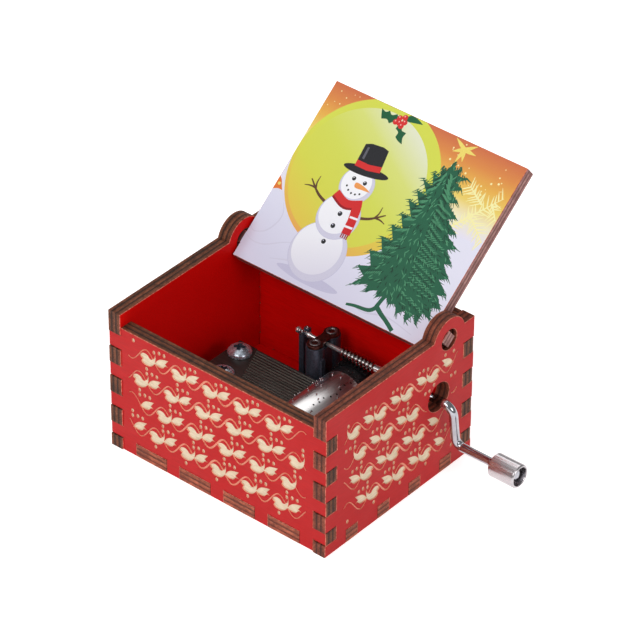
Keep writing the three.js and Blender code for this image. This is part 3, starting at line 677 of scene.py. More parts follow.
INK = {
    "sky": ink("ink_sky", [(230, 226, 240), (240, 232, 198), (236, 208, 104), (232, 176, 76), (222, 140, 70), (208, 112, 70)], (0, 1), (22.0, 42.0)),
    "snow": ink("ink_snow", [(214, 213, 234), (224, 223, 241), (228, 227, 243)], (0.3, 1), (-8, 22)),
    "shade": ink("ink_shade", [(190, 188, 216), (202, 200, 224)]),
    "moon": ink("ink_moon", [(232, 168, 84), (228, 192, 78), (217, 214, 76), (213, 219, 82)], (0.25, 1), (2, 26)),
    "glow": ink("ink_glow", [(232, 172, 78), (226, 200, 76), (213, 215, 78), (211, 218, 88), (216, 223, 122), (228, 232, 206)], (0.5, 0.87), (-9, 33)),
    "white": ink("ink_white", [(222, 220, 236), (240, 240, 247), (246, 246, 250)], (-0.5, 1), (0, 26)),
    "soft": ink("ink_soft", [(204, 202, 224), (214, 212, 230)]),
    "red": ink("ink_red", [(176, 20, 28), (206, 32, 36), (214, 44, 44)], (-0.6, 1), (0, 30)),
    "red_dark": ink("ink_red_dark", [(140, 14, 24), (160, 20, 28)]),
    "shine": ink("ink_shine", [(236, 150, 150), (246, 196, 192)]),
    "black": ink("ink_black", [(24, 24, 28), (40, 40, 46)]),
    "orange": ink("ink_orange", [(226, 120, 48), (240, 158, 84)], (0.3, 1), (10, 20)),
    "twig": ink("ink_twig", [(74, 46, 30), (108, 72, 46)]),
    "tree": ink("ink_tree", [(26, 84, 60), (36, 104, 74)]),
    "tree_light": ink("ink_tree_light", [(62, 134, 96), (84, 152, 112)]),
    "tree_dark": ink("ink_tree_dark", [(14, 54, 40), (22, 68, 50)]),
    "coal_shine": ink("ink_coal_shine", [(84, 84, 92), (104, 104, 114)]),
    "gold": ink("ink_gold", [(232, 206, 84), (244, 228, 128)]),
    "frost": ink("ink_frost", [(244, 234, 158), (248, 242, 186)]),
    "leaf": ink("ink_leaf", [(24, 92, 56), (60, 132, 84)], (1, 0.6), (18, 40)),
}
INK_ORDER = list(INK)
rng = np.random.default_rng(11)
picture = []


def draw(poly, ink_name):
    picture.append((ccw([tuple(q) for q in poly]), 10 + INK_ORDER.index(ink_name)))


def blob(points, ink_name, sharp=()):
    draw(curve(points, True, sharp, 6), ink_name)


def line(points, ink_name, w0, w1=None, w2=None, steps=6):
    draw(stroke(curve(points, False, (), steps), w0, w1, w2), ink_name)


W = LID_HALF_WIDTH
# ground and sky
blob([(-29, -6), (29, -6), (29, 22.0), (20, 21.4), (8, 20.0), (-8, 17.5), (-19, 14.2), (-24.2, 13.2), (-26.2, 14.2), (-29, 13.0)], "snow", (0, 1, 2, 9))
for _ in range(26):
    x, y = rng.uniform(8, 27), rng.uniform(30, 41.5)
    draw(circle(x, y, rng.uniform(0.12, 0.3), 8), "frost")
for _ in range(8):
    x, y = rng.uniform(-27, -20), rng.uniform(36, 41.5)
    draw(circle(x, y, rng.uniform(0.1, 0.2), 8), "frost")
draw(circle(-8.5, 24.4, 19.4, 96), "moon")
draw(circle(-9.6, 23.9, 17.3, 96), "glow")
# far left: a snowed-in gable and drifts
draw([(-29, 13.0), (-29, 17.6), (-27.0, 16.0), (-25.4, 13.7)], "orange")
draw(circle(-27.0, 14.9, 0.42, 10), "gold")
blob([(-29, 12.2), (-26.6, 13.7), (-24.2, 12.9), (-21.9, 8.2), (-20.0, 3.6), (-22.4, -0.4), (-29, -1.6)], "snow", (0, 6))
line([(-28.2, 3.6), (-26.4, 2.4), (-23.6, 3.6), (-22.0, 6.4), (-21.9, 9.0), (-23.2, 11.2)], "soft", 0.08, 0.22, 0.06)
line([(-28.2, 1.2), (-25.4, 0.2), (-22.0, 0.6), (-17.6, 3.0), (-14.6, 4.0)], "soft", 0.06, 0.2, 0.05)
line([(-19.0, -1.8), (-14.6, -0.4), (-11.8, 0.2)], "soft", 0.05, 0.24, 0.05)
line([(6.0, -2.6), (10.0, -3.4), (16.0, -2.0), (24.0, -3.2)], "soft", 0.05, 0.22, 0.05)
# frosted twigs at the right
for base, tip, n in (((17.6, 22.0), (26.6, 33.8), 15), ((20.4, 27.6), (27.4, 22.6), 10), ((22.4, 30.4), (17.4, 33.2), 8), ((24.6, 31.6), (27.6, 28.4), 5)):
    a, b = np.array(base), np.array(tip)
    d = b - a
    side = np.array((-d[1], d[0])) / np.linalg.norm(d)
    draw(stroke([tuple(a + d * t) for t in np.linspace(0, 1, 6)], 0.26, 0.2, 0.08), "frost")
    for i in range(n):
        p = a + d * (i + 0.6) / n
        for sgn in (-1, 1):
            q = p + d / np.linalg.norm(d) * rng.uniform(0.8, 1.8) + sgn * side * rng.uniform(1.4, 2.9)
            if q[0] < 27.7:
                draw(stroke([tuple(p + (q - p) * t) for t in (0, 0.5, 1)], 0.18, 0.15, 0.04), "frost")
# fir tree
TREE = [(10.8, 36.8), (11.7, 34.9), (13.2, 35.9), (13.0, 34.2), (16.1, 34.3), (13.6, 32.6), (16.0, 31.4), (13.6, 30.2), (16.8, 28.4),
        (14.6, 27.4), (18.6, 25.0), (16.6, 24.0), (20.6, 21.6), (18.4, 20.9), (22.6, 18.8), (20.4, 17.6), (23.4, 15.2), (21.6, 14.4),
        (24.8, 11.8), (22.6, 11.0), (26.4, 8.2), (24.2, 7.6), (27.2, 4.9), (24.6, 4.4), (26.0, 1.8), (23.6, 2.4), (23.4, -0.6),
        (21.9, 1.4), (20.6, -1.2), (19.4, 1.2), (17.6, -0.4), (16.4, 1.6), (14.6, 0.8), (13.4, 2.2), (11.0, 1.2), (10.2, 2.8),
        (7.6, 1.0), (7.4, 3.0), (3.6, 1.2), (5.4, 4.0), (2.6, 5.6), (5.6, 6.8), (3.2, 10.0), (6.4, 10.6), (4.0, 14.0), (7.2, 14.2),
        (4.8, 17.4), (7.8, 17.6), (5.4, 20.8), (8.2, 20.8), (5.2, 24.4), (8.4, 24.0), (5.8, 27.2), (8.8, 27.0), (5.6, 30.2),
        (8.8, 29.4), (7.2, 32.6), (9.4, 31.8), (8.6, 34.4), (10.0, 33.8)]
draw(TREE, "tree")
hub = np.array((12.4, 20.0))
for i, p in enumerate(TREE):
    q = np.array(p, float)
    nxt = np.array(TREE[(i + 1) % len(TREE)], float)
    for t in np.linspace(0, 0.88, 5):
        r = q + (nxt - q) * t
        axis = np.array((11.6 + (20 - r[1]) * 0.06, r[1] + 4.0 + 0.25 * abs(r[0] - 12)))
        out = (r - axis) / np.linalg.norm(r - axis)
        turn = rng.uniform(-0.5, 0.5)
        out = np.array((out[0] * math.cos(turn) - out[1] * math.sin(turn), out[0] * math.sin(turn) + out[1] * math.cos(turn)))
        e = r + out * rng.uniform(0.6, 1.5)
        if e[0] < 27.75:
            draw(stroke([tuple(r - out * 0.6), tuple(r), tuple(e)], 0.16, 0.13, 0.03), "tree")
tree_poly = ccw(TREE)
placed = 0
while placed < 420:
    c = np.array((rng.uniform(3.5, 26.5), rng.uniform(-0.5, 36)))
    if not inside(tree_poly, c[None, :])[0]:
        continue
    placed += 1
    axis = np.array((11.8, c[1] + 5.0))
    out = (c - axis) / np.linalg.norm(c - axis)
    turn = rng.uniform(-0.7, 0.7)
    out = np.array((out[0] * math.cos(turn) - out[1] * math.sin(turn), out[0] * math.sin(turn) + out[1] * math.cos(turn)))
    e = c + out * rng.uniform(0.8, 1.7)
    if inside(tree_poly, e[None, :])[0]:
        draw(stroke([tuple(c), tuple((c + e) / 2), tuple(e)], 0.05, 0.14, 0.04), "tree_light" if placed % 2 else "tree_dark")
for i in range(26):
    y = 34.0 - i * 1.28
    spread = 1.6 + (34.0 - y) * 0.36
    for sgn in (-1, 1):
        x0 = 11.4 + (20 - y) * 0.05
        tip = np.array((x0 + sgn * spread * rng.uniform(0.75, 1.05) + (34.0 - y) * 0.06, y - rng.uniform(1.0, 2.6)))
        root = np.array((x0 + sgn * spread * 0.25, y))
        if not inside(tree_poly, tip[None, :])[0]:
            continue
        d = (tip - root) / np.linalg.norm(tip - root)
        side = np.array((-d[1], d[0]))
        for t in np.linspace(0.1, 1.0, 9):
            q = root + (tip - root) * t
            for turn in (-1, 1):
                e = q + d * 0.75 + side * turn * 0.62
                if inside(tree_poly, e[None, :])[0]:
                    draw(stroke([tuple(q), tuple((q + e) / 2), tuple(e)], 0.1, 0.1, 0.03), "tree_light" if turn > 0 else "tree_dark")
# stand
line([(12.9, 2.4), (12.5, 0.4), (12.3, -1.2)], "tree", 0.55, 0.5, 0.6)
line([(12.6, -0.8), (11.0, -2.4), (7.2, -2.9), (5.0, -3.4)], "tree", 0.6, 0.42, 0.3)
line([(12.2, -0.8), (14.2, -1.9), (16.6, -3.0), (19.0, -4.3)], "tree", 0.6, 0.5, 0.5)
# tree-top star
for tip in ((7.9, 42.0), (13.9, 42.1), (8.6, 38.8), (14.6, 40.0), (12.2, 37.4), (10.6, 36.6)):
    draw(stroke([(11.2, 40.2), ((11.2 + tip[0]) / 2, (40.2 + tip[1]) / 2), tip], 0.55, 0.42, 0.04), "gold")
# holly
HX = -1.2
blob([(x + HX, y) for x, y in [(-6.6, 40.2), (-7.8, 41.2), (-9.0, 40.5), (-10.0, 41.2), (-10.9, 40.6), (-12.2, 41.0), (-11.6, 39.7), (-11.0, 38.7), (-9.6, 39.1), (-8.6, 38.4), (-7.6, 39.3)]], "leaf", (0, 1, 3, 5, 7, 9))
blob([(x + HX, y) for x, y in [(-6.0, 39.6), (-4.8, 39.3), (-4.6, 38.2), (-3.2, 38.0), (-3.4, 36.7), (-2.7, 35.2), (-4.2, 35.6), (-5.2, 36.2), (-5.2, 37.4), (-6.3, 38.0)]], "leaf", (0, 1, 3, 5, 7, 9))
blob([(x + HX, y) for x, y in [(-5.6, 41.0), (-4.4, 42.2), (-2.6, 42.2), (-0.4, 41.4), (-2.8, 40.9), (-4.4, 40.6)]], "leaf", (0, 3))
for x, y in ((-5.5, 41.2), (-6.7, 40.6), (-5.0, 40.1), (-6.2, 39.5), (-7.2, 39.4), (-5.4, 39.0)):
    draw(circle(x + HX, y, 0.72, 16), "red")
    draw(circle(x + HX - 0.2, y + 0.25, 0.2, 8), "shine")
# snowman: three plain snowballs, twig arms, a scarf and a tall hat
blob([(-16.4, -2.2), (-10.0, -3.5), (-2.0, -3.3), (1.6, -2.0), (-4.0, -1.0), (-12.0, -1.0)], "shade")
for points, w in (([(-12.4, 15.2), (-16.4, 16.6), (-20.0, 19.2)], 0.4), ([(-17.6, 17.3), (-18.2, 18.8), (-18.2, 20.6)], 0.24),
                  ([(-18.0, 17.6), (-19.4, 17.6), (-20.9, 17.2)], 0.24), ([(-4.8, 15.2), (-1.2, 16.4), (2.2, 18.8)], 0.4),
                  ([(-0.2, 17.0), (0.4, 18.4), (0.4, 20.2)], 0.24), ([(0.2, 17.2), (1.6, 17.2), (3.0, 16.8)], 0.24)):
    line(points, "twig", w, w * 0.8, w * 0.35)
for x, y, r in ((-8.6, 4.4, 7.3), (-8.6, 13.8, 5.5), (-8.6, 22.2, 4.4)):
    draw(circle(x, y, r + 0.14, 64), "shade")
    draw(circle(x, y, r, 64), "soft")
    draw(circle(x - 0.08 * r, y + 0.09 * r, 0.88 * r, 64), "white")
for x, y in ((-8.6, 14.6), (-8.6, 11.4), (-8.6, 7.2)):
    draw(circle(x, y, 0.6, 18), "black")
    draw(circle(x - 0.2, y + 0.22, 0.15, 8), "soft")
for x in (-10.2, -7.0):
    draw(circle(x, 23.4, 0.52, 18), "black")
    draw(circle(x - 0.16, 23.6, 0.14, 8), "white")
blob([(-9.0, 22.8), (-8.9, 21.6), (-6.6, 21.7), (-4.4, 21.9), (-6.6, 22.6)], "orange", (3,))
for x, y in ((-10.9, 21.2), (-10.0, 20.4), (-8.9, 20.0), (-7.8, 20.1), (-6.8, 20.6)):
    draw(circle(x, y, 0.26, 12), "black")
line([(-12.5, 18.4), (-8.6, 17.0), (-4.7, 18.4)], "red_dark", 1.05, 1.1, 1.05)
line([(-12.4, 18.8), (-8.6, 17.4), (-4.8, 18.8)], "red", 0.9, 0.95, 0.9)
blob([(-6.6, 17.6), (-4.6, 18.0), (-3.7, 14.4), (-3.4, 10.9), (-5.7, 10.7), (-6.0, 14.2)], "red", (3, 4))
for y in (15.0, 12.6):
    line([(-5.9, y - 0.1), (-4.8, y), (-3.7, y + 0.1)], "white", 0.26)
for x in (-5.4, -4.9, -4.3, -3.8):
    line([(x, 10.9), (x + 0.02, 10.3), (x + 0.06, 9.7)], "red_dark", 0.16)
hat = (-8.4, 26.0)
draw(turned([(5.5 * math.cos(t), 1.05 * math.sin(t)) for t in np.linspace(0, 2 * math.pi, 40, endpoint=False)], 6, hat), "black")
draw(turned([(-3.5, 0.2), (-3.2, 6.2), (-1.6, 6.7), (1.6, 6.7), (3.2, 6.2), (3.5, 0.2)], 6, hat), "black")
draw(turned([(-3.5, 0.6), (-3.42, 2.1), (0.0, 1.75), (3.42, 2.1), (3.5, 0.6), (0.0, 0.25)], 6, hat), "red")
draw(turned([(-2.5, 2.7), (-2.35, 5.6), (-1.8, 5.7), (-1.9, 2.6)], 6, hat), "coal_shine")
for sx in (-1, 1):
    picture.append((ccw([(sx * (W + 0.01), -4), (sx * 33, -4), (sx * 33, 4), (sx * (W + 0.01), 4)]), 3))

p2 = PEG_WIDTH / 2
lid_outline = [(-W, -LID_TAIL), (W, -LID_TAIL), (W, -p2), (PEG_END, -p2), (PEG_END, p2), (W, p2), (W, LID_FRONT), (-W, LID_FRONT),
               (-W, p2), (-PEG_END, p2), (-PEG_END, -p2), (-W, -p2)]
picture_kinds = {0: (5 + INK_ORDER.index("sky"), 0.0), 3: (3, 0.0)}
for i in range(len(INK_ORDER)):
    picture_kinds[10 + i] = (5 + i, 0.0)
lid_place = Matrix.Translation((0, HINGE_Y * MM, HINGE_Z * MM)) @ Matrix.Rotation(LID_ANGLE, 4, "X")
lid_cut = ([(ccw(p), c) for p, c in ornament((-25.6, 25.6, 5.5, 39.6), False, [])],
           {0: (0, 0.0), 1: (1, 0.28), 2: (5 + len(INK_ORDER), 0.28)})
panel("lid_panel_print", lid_outline, [], LID_THICKNESS, lambda u, v, w: (u, v, LID_THICKNESS / 2 - w), (picture, picture_kinds), lid_cut,
      [RED_X, WOOD_X, GROOVE, EDGE_LID, RIM] + [INK[k] for k in INK_ORDER] + [VINE], "lid", "lid_panel", matrix=lid_place, chamfer=0.1)

# ------------------------------------------------------------------ metals and plastics
CHROME = metal("polished_chrome", (174, 174, 180), 0.10, 0.04, tone=0.05, scale=900)
KNOB_METAL = metal("turned_chrome", (192, 187, 190), 0.27, 0.05, tone=0.06, grain=0, scale=2400, bump=0.08)
SATIN = metal("satin_drum", (212, 210, 210), 0.3, 0.04, tone=0.05, grain=1, scale=2600, bump=0.02)
STEEL = metal("plain_steel", (190, 188, 190), 0.22, 0.06, scale=1800)
# shaft part of the crank wire: a brighter, partly diffuse copy of the chrome, as painted sheen for the bright
# highlight lines along it
SHAFT = metal("shaft_painted_sheen", (232, 230, 230), 0.2, 0.05, metallic=0.85, scale=1800)
# worm thread: a darker copy of the shaft steel, as painted shade for its underside sinking into the dark gear below
WORM = metal("worm_steel_painted_shade", (158, 152, 150), 0.17, 0.05, scale=1800)
# darker copy of the screw metal for the cross recess: painted shade
RECESS_SHADE = metal("screw_recess_painted_shade", (84, 92, 104), 0.3, 0.06, metallic=0.6, scale=1500, tone=0.2)
SCREW = metal("blued_screw", (172, 182, 194), 0.25, 0.08, metallic=0.72, scale=1500, tone=0.2, bump=0.15)
RIVET = metal("rivet_ring", (124, 120, 122), 0.32, 0.06, metallic=0.8, scale=1500, tone=0.2)
# tooth faces turned to the front lamps: a lighter copy of the comb steel, as painted highlight
COMB_LIT_SIDE = metal("comb_tooth_side_painted_highlight", (134, 130, 122), 0.34, 0.06, metallic=0.4, grain=0, scale=2600, tone=0.15)
COMB = metal("comb_steel", (56, 51, 48), 0.36, 0.06, metallic=0.45, grain=0, scale=2600, tone=0.2, bump=0.1)
CASTING = metal("dark_casting", (98, 107, 124), 0.38, 0.06, metallic=0.8, scale=2200, bump=0.3, tone=0.15)
STRAP = metal("dark_strap", (98, 58, 52), 0.34, 0.06, metallic=0.85, scale=1500, tone=0.2)
PLASTIC = metal("black_plastic", (20, 21, 23), 0.3, 0.06, metallic=0.0, scale=1500, tone=0.2)
# near-black discs on the drum: painted shade standing for pin holes
PIN_HOLE_SHADE = metal("drum_pin_hole_painted_shade", (22, 20, 20), 0.5, 0.05, metallic=0.3, scale=1500)


def finish_mesh(o, angle=35, bevel=0.0, segments=2):
    for p in o.data.polygons:
        p.use_smooth = True
    o.data.set_sharp_from_angle(angle=math.radians(angle))
    if bevel:
        m = o.modifiers.new("edges", "BEVEL")
        m.width = bevel * MM
        m.segments = segments
        m.limit_method = "ANGLE"
        m.angle_limit = math.radians(30)
        m.harden_normals = True
        m.use_clamp_overlap = True
    return o


def detailed(node, name, material, bevel=0.1, angle=35, dissolve=True, segments=2):
    """A copy of a CAD node's own shape with its edges broken, standing for it."""
    src = frame["nodes"][node]
    bm = bmesh.new()
    bm.from_mesh(src.data)
    bmesh.ops.remove_doubles(bm, verts=bm.verts, dist=2e-6)
    if dissolve:
        bmesh.ops.dissolve_limit(bm, angle_limit=math.radians(0.6), verts=bm.verts, edges=bm.edges)
    bmesh.ops.recalc_face_normals(bm, faces=bm.faces)
    mesh = bpy.data.meshes.new(name)
    bm.to_mesh(mesh)
    bm.free()
    mesh.materials.clear()
    mesh.materials.append(material)
    for p in mesh.polygons:
        p.material_index = 0
    o = bpy.data.objects.new(name, mesh)
    bpy.context.scene.collection.objects.link(o)
    finish_mesh(o, angle, bevel, segments)
    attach(o, src["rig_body"])
    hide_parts(node)
    return o


def mesh_object(name, verts, faces, materials, body, node=None, indices=None, angle=35, bevel=0.0):
    mesh = bpy.data.meshes.new(name)
    mesh.from_pydata([[c * MM for c in v] for v in verts], [], faces)
    for m in materials:
        mesh.materials.append(m)
    if indices is not None:
        for p, i in zip(mesh.polygons, indices):
            p.material_index = i
    bm = bmesh.new()
    bm.from_mesh(mesh)
    bmesh.ops.remove_doubles(bm, verts=bm.verts, dist=1e-7)
    bmesh.ops.recalc_face_normals(bm, faces=bm.faces)
    bm.to_mesh(mesh)
    bm.free()
    mesh.update()
    o = bpy.data.objects.new(name, mesh)
    bpy.context.scene.collection.objects.link(o)
    finish_mesh(o, angle, bevel)
    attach(o, body)
    if node is not None:
        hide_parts(node)
    return o


def lathe(profile, axis, at, segments):
    """Vertices and faces of a turned body; profile is (radius, height) pairs, closed on itself if its ends agree."""
    verts, faces, rows = [], [], []
    for r, h in profile:
        row = []
        for i in range(segments if r > 1e-6 else 1):
            t = 2 * math.pi * i / segments
            a, b = r * math.cos(t), r * math.sin(t)
            p = {"x": (h, a, b), "y": (a, h, -b), "z": (a, b, h)}[axis]
            row.append(len(verts))
            verts.append([p[k] + at[k] for k in range(3)])
        rows.append(row)
    for a, b in zip(rows, rows[1:]):
        for i in range(segments):
            j = (i + 1) % segments
            quad = [a[i % len(a)], a[j % len(a)], b[j % len(b)], b[i % len(b)]]
            quad = [q for k, q in enumerate(quad) if q not in quad[:k]]
            if len(quad) > 2:
                faces.append(quad)
    return verts, faces


def rounded(profile, r, steps=4):
    """The profile with each inner corner rounded by r."""
    out = [profile[0]]
    for a, b, c in zip(profile, profile[1:], profile[2:]):
        a, b, c = np.array(a, float), np.array(b, float), np.array(c, float)
        d0, d1 = np.linalg.norm(a - b), np.linalg.norm(c - b)
        q = min(r, d0 * 0.45, d1 * 0.45)
        p0, p1 = b + (a - b) / d0 * q, b + (c - b) / d1 * q
        for k in range(steps + 1):
            t = k / steps
            out.append(tuple((1 - t) ** 2 * p0 + 2 * t * (1 - t) * b + t * t * p1))
    out.append(profile[-1])
    return out


def add_lathe(name, profile, axis, at, segments, material, body, node=None, round_r=0.0, angle=40):
    prof = rounded(profile, round_r) if round_r else profile
    v, f = lathe(prof, axis, at, segments)
    return mesh_object(name, v, f, [material], body, node, angle=angle)


# ------------------------------------------------------------------ movement
detailed("movement_bedplate", "movement_bedplate_cast", CASTING, 0.14, segments=2)
comb = detailed("comb", "comb_steel_piece", COMB, 0.05, segments=1)
comb.data.materials.append(COMB_LIT_SIDE)
# faces facing -y, toward the front lamps, take the lighter steel: a painted highlight line on each tooth
for p in comb.data.polygons:
    if p.normal.y < -0.6 and p.center.x > -17 * MM:
        p.material_index = 1
# strap: a disc round each rivet, drawn in between them
ya, yb, rs, neck = BRACKET_Y[0], BRACKET_Y[1], 1.92, 1.2
half = []
for i in range(31):
    t = math.radians(-90 + 128 * i / 30)
    half.append((BRACKET_X + rs * math.cos(t), ya + rs * math.sin(t)))
mid = (ya + yb) / 2
half += curve([half[-1], (BRACKET_X + neck + 0.08, ya + 1.8), (BRACKET_X + neck, mid)], False, (), 6)[1:]
right_side = half + [(x, 2 * mid - y) for x, y in half[::-1][1:]]
strap_line = right_side + [(2 * BRACKET_X - x, y) for x, y in right_side[::-1][1:-1]]
count = len(strap_line)
sv = [(x, y, BRACKET_TOP + 0.05) for x, y in strap_line] + [(x, y, BRACKET_TOP + 0.75) for x, y in strap_line]
sf = [list(range(count))[::-1], [count + i for i in range(count)]] + [[i, (i + 1) % count, count + (i + 1) % count, count + i] for i in range(count)]
mesh_object("worm_strap_plate", sv, sf, [STRAP], "case", "worm_strap", angle=35, bevel=0.1)
# two small pins at the fork of the end post
for k, y in enumerate((12.9, 14.85)):
    add_lathe(f"end_post_pin_{k + 1}", [(0, 21.2), (0.42, 21.2), (0.42, 22.02), (0.36, 22.12), (0.2, 22.12), (0.14, 22.02), (0, 22.02)], "z",
              (-7.7, y, 0), 24, STEEL, "case", None, 0.03)
detailed("drum_gear", "drum_gear_moulded", PLASTIC, 0.04, segments=1)
for k in (1, 2, 3):
    detailed(f"mounting_screw_{k}", f"mounting_screw_{k}_head", STEEL, 0.06)
for side_name, y in (("front", BRACKET_Y[0]), ("rear", BRACKET_Y[1])):
    z = BRACKET_TOP + 0.78
    add_lathe(f"strap_rivet_{side_name}_tube", [(0, 19.6), (0.82, 19.6), (0.82, z), (1.35, z), (1.33, z + 0.16), (1.22, z + 0.24),
              (0.86, z + 0.22), (0.74, z + 0.04), (0.7, z - 0.5), (0, z - 0.5)], "z", (BRACKET_X, y, 0), 40, RIVET, "case",
              f"strap_rivet_{side_name}", 0.06)
for k, (x, y) in enumerate(COMB_SCREWS):
    z = COMB_TOP + 0.02
    dome = [(2.95 * math.cos(t), z + 0.35 + 1.6 * math.sin(t)) for t in [math.pi / 2 * i / 14 for i in range(15)]]
    dome[-1] = (0, dome[-1][1])
    v, f = lathe([(0, 9.0), (1.1, 9.0), (1.1, z), (2.8, z), (2.95, z + 0.12)] + dome, "z", (x, y, 0), 64)
    name = "comb_screw_rear" if k == 0 else "comb_screw_front"
    o = mesh_object(name + "_domed", v, f, [SCREW], "case", name, angle=50)
    turn = 0.5 + k * 0.6
    cutter_mesh = bpy.data.meshes.new("recess")
    bm = bmesh.new()
    for a in (turn, turn + math.pi / 2):
        made = bmesh.ops.create_cube(bm, size=1.0)["verts"]
        bmesh.ops.scale(bm, verts=made, vec=(3.9 * MM, 1.0 * MM, 3 * MM))
        for q in made:
            if q.co.z < 0:
                q.co.x *= 0.55
        bmesh.ops.rotate(bm, verts=made, matrix=Matrix.Rotation(a, 3, "Z"))
        bmesh.ops.translate(bm, verts=made, vec=(x * MM, y * MM, (z + 2.3) * MM))
    bm.to_mesh(cutter_mesh)
    bm.free()
    cutter = bpy.data.objects.new("recess", cutter_mesh)
    bpy.context.scene.collection.objects.link(cutter)
    mod = o.modifiers.new("recess", "BOOLEAN")
    mod.operation = "DIFFERENCE"
    mod.object = cutter
    mod.solver = "EXACT"
    mod.use_self = True
    bpy.context.view_layer.update()
    done = bpy.data.meshes.new_from_object(o.evaluated_get(bpy.context.evaluated_depsgraph_get()))
    o.modifiers.remove(mod)
    o.data = done
    bpy.data.objects.remove(cutter)
    while len(o.data.materials) > 1:
        o.data.materials.pop()
    o.data.materials.append(RECESS_SHADE)
    # faces inside the cross recess take the darker metal: painted shade
    for p in o.data.polygons:
        px, py, pz = (c / MM for c in p.center)
        r = math.hypot(px - x, py - y)
        surface = z + 0.35 + 1.6 * math.sqrt(max(0.0, 1 - (r / 2.95) ** 2))
        p.material_index = 1 if r < 2.3 and z + 0.4 < pz < surface - 0.12 else 0
    finish_mesh(o, 50, 0.05, 1)

# drum: thin tube with its pins, and dark discs just proud of it as painted shade of pin holes
seed = 7
dv, df, dm = [], [], []


def grow(v, f, m):
    base = len(dv)
    dv.extend(v)
    df.extend([[base + i for i in q] for q in f])
    dm.extend([m] * len(f))


v, f = lathe(rounded([(DRUM_BORE, 0), (DRUM_BORE, DRUM_FRONT), (DRUM_R, DRUM_FRONT), (DRUM_R, DRUM_REAR), (DRUM_BORE, DRUM_REAR), (DRUM_BORE, 0)], 0.12),
             "y", (DRUM_X, 0, DRUM_Z), 144)
grow(v, f, 0)


def peg_at(angle, y, r, inner, outer, m, n=8):
    """A small round peg standing out of the drum."""
    d = Vector((math.sin(angle), 0, math.cos(angle)))
    t = Vector((math.cos(angle), 0, -math.sin(angle)))
    rows = [(r, inner), (r, outer - r * 0.5), (r * 0.6, outer)]
    v = []
    for rr, h in rows:
        for i in range(n):
            a = 2 * math.pi * i / n
            p = Vector((DRUM_X, y, DRUM_Z)) + d * h + t * (rr * math.cos(a)) + Vector((0, 1, 0)) * (rr * math.sin(a))
            v.append(tuple(p))
    f = [[s * n + i, s * n + (i + 1) % n, (s + 1) * n + (i + 1) % n, (s + 1) * n + i] for s in range(2) for i in range(n)]
    f += [list(range(n))[::-1], [2 * n + i for i in range(n)]]
    grow(v, f, m)


scatter_rng = np.random.default_rng(5)
for k in range(TEETH):
    y = REAR_TOOTH_Y - k * TOOTH_PITCH
    for j in range(3):
        seed = (seed * 137 + 71) % 997
        angle = (j + seed / 997 * 0.8) * 2 * math.pi / 3
        peg_at(angle, y, 0.17, DRUM_R - 0.2, PIN_R, 1)
    # dark discs in slot 2: painted shade of pin holes
    if k % 2 == 0:
        peg_at(0.4 + scatter_rng.uniform(-0.09, 0.09), y + 0.43, 0.36, DRUM_R - 0.2, DRUM_R + 0.04, 2, 12)
    if k % 3 == 0:
        peg_at(0.85 + scatter_rng.uniform(-0.1, 0.1), y - 0.43, 0.34, DRUM_R - 0.2, DRUM_R + 0.04, 2, 12)
        peg_at(-0.35 + scatter_rng.uniform(-0.25, 0.25), y, 0.17, DRUM_R - 0.2, PIN_R, 1)
    peg_at(scatter_rng.uniform(1.3, 5.6), y + 0.43, 0.3, DRUM_R - 0.2, DRUM_R + 0.04, 2, 12)
mesh_object("drum_pinned", dv, df, [SATIN, STEEL, PIN_HOLE_SHADE], "drum", "drum", dm, angle=40)
add_lathe("drum_arbor_rod", [(0, -12.2), (0.9, -12.2), (0.9, 19.0), (0, 19.0)], "y", (DRUM_X, 0, DRUM_Z), 40, STEEL, "drum", "drum_arbor", 0.15)
add_lathe("drum_end_cap_moulded", [(0.95, -8), (0.95, -9.7), (6.4, -9.7), (6.4, -9.05), (5.74, -9.05), (5.74, -6.5), (0.95, -6.5), (0.95, -8)], "y",
          (DRUM_X, 0, DRUM_Z), 64, PLASTIC, "drum", "drum_end_cap", 0.08)

# ------------------------------------------------------------------ crank: bent wire, worm thread and knob
down = Vector((0, HANDLE_Y - SHAFT_Y, HANDLE_Z - SHAFT_Z))
reach = down.length
down.normalize()
X = Vector((1, 0, 0))
across = X.cross(down)
rings = []


def ring(x, along_arm, angle, r):
    c = Vector((x, SHAFT_Y, SHAFT_Z)) + down * along_arm
    rings.append((c, -X * math.sin(angle) + down * math.cos(angle), across, r))


for x, r in ((-9.9, 0.5), (-9.82, 0.68), (-9.65, 0.78), (-9.2, 0.78), (-9.08, 0.62), (-9.0, 0.5), (-6.5, 0.5), (-6.45, 0.62), (-6.35, 0.75),
             (-5.95, 0.75), (-5.85, 0.66), (-5.8, PIVOT), (3.3, PIVOT), (3.6, 0.72), (3.9, 0.9), (14.6, 0.9), (14.85, 0.97), (15.1, WIRE)):
    ring(x, 0, 0, r)
for i in range(23):
    t = math.pi / 2 * i / 22
    ring(ARM_X - UPPER + UPPER * math.sin(t), UPPER * (1 - math.cos(t)), t, WIRE)
for i in range(23):
    t = math.pi / 2 * (1 - i / 22)
    ring(ARM_X + LOWER * (1 - math.sin(t)), reach - LOWER * (1 - math.cos(t)), t, WIRE)
for x, r in ((45.9, WIRE), (46.2, 1.15), (46.32, 1.32), (46.5, 1.35), (46.7, 1.34), (46.85, 1.2), (46.95, WIRE), (52.05, WIRE), (52.15, 1.35),
             (52.3, 1.5), (52.8, 1.5), (53.1, 1.42), (53.4, 1.15), (53.6, 0.8), (53.65, 0.5)):
    ring(x, reach, 0, r)
n = 32
cv, cf = [], []
for c, a, b, r in rings:
    for i in range(n):
        t = 2 * math.pi * i / n
        cv.append(tuple(c + a * (r * math.cos(t)) + b * (r * math.sin(t))))
for s in range(len(rings) - 1):
    for i in range(n):
        j = (i + 1) % n
        cf.append([s * n + i, s * n + j, (s + 1) * n + j, (s + 1) * n + i])
cf.append(list(range(n))[::-1])
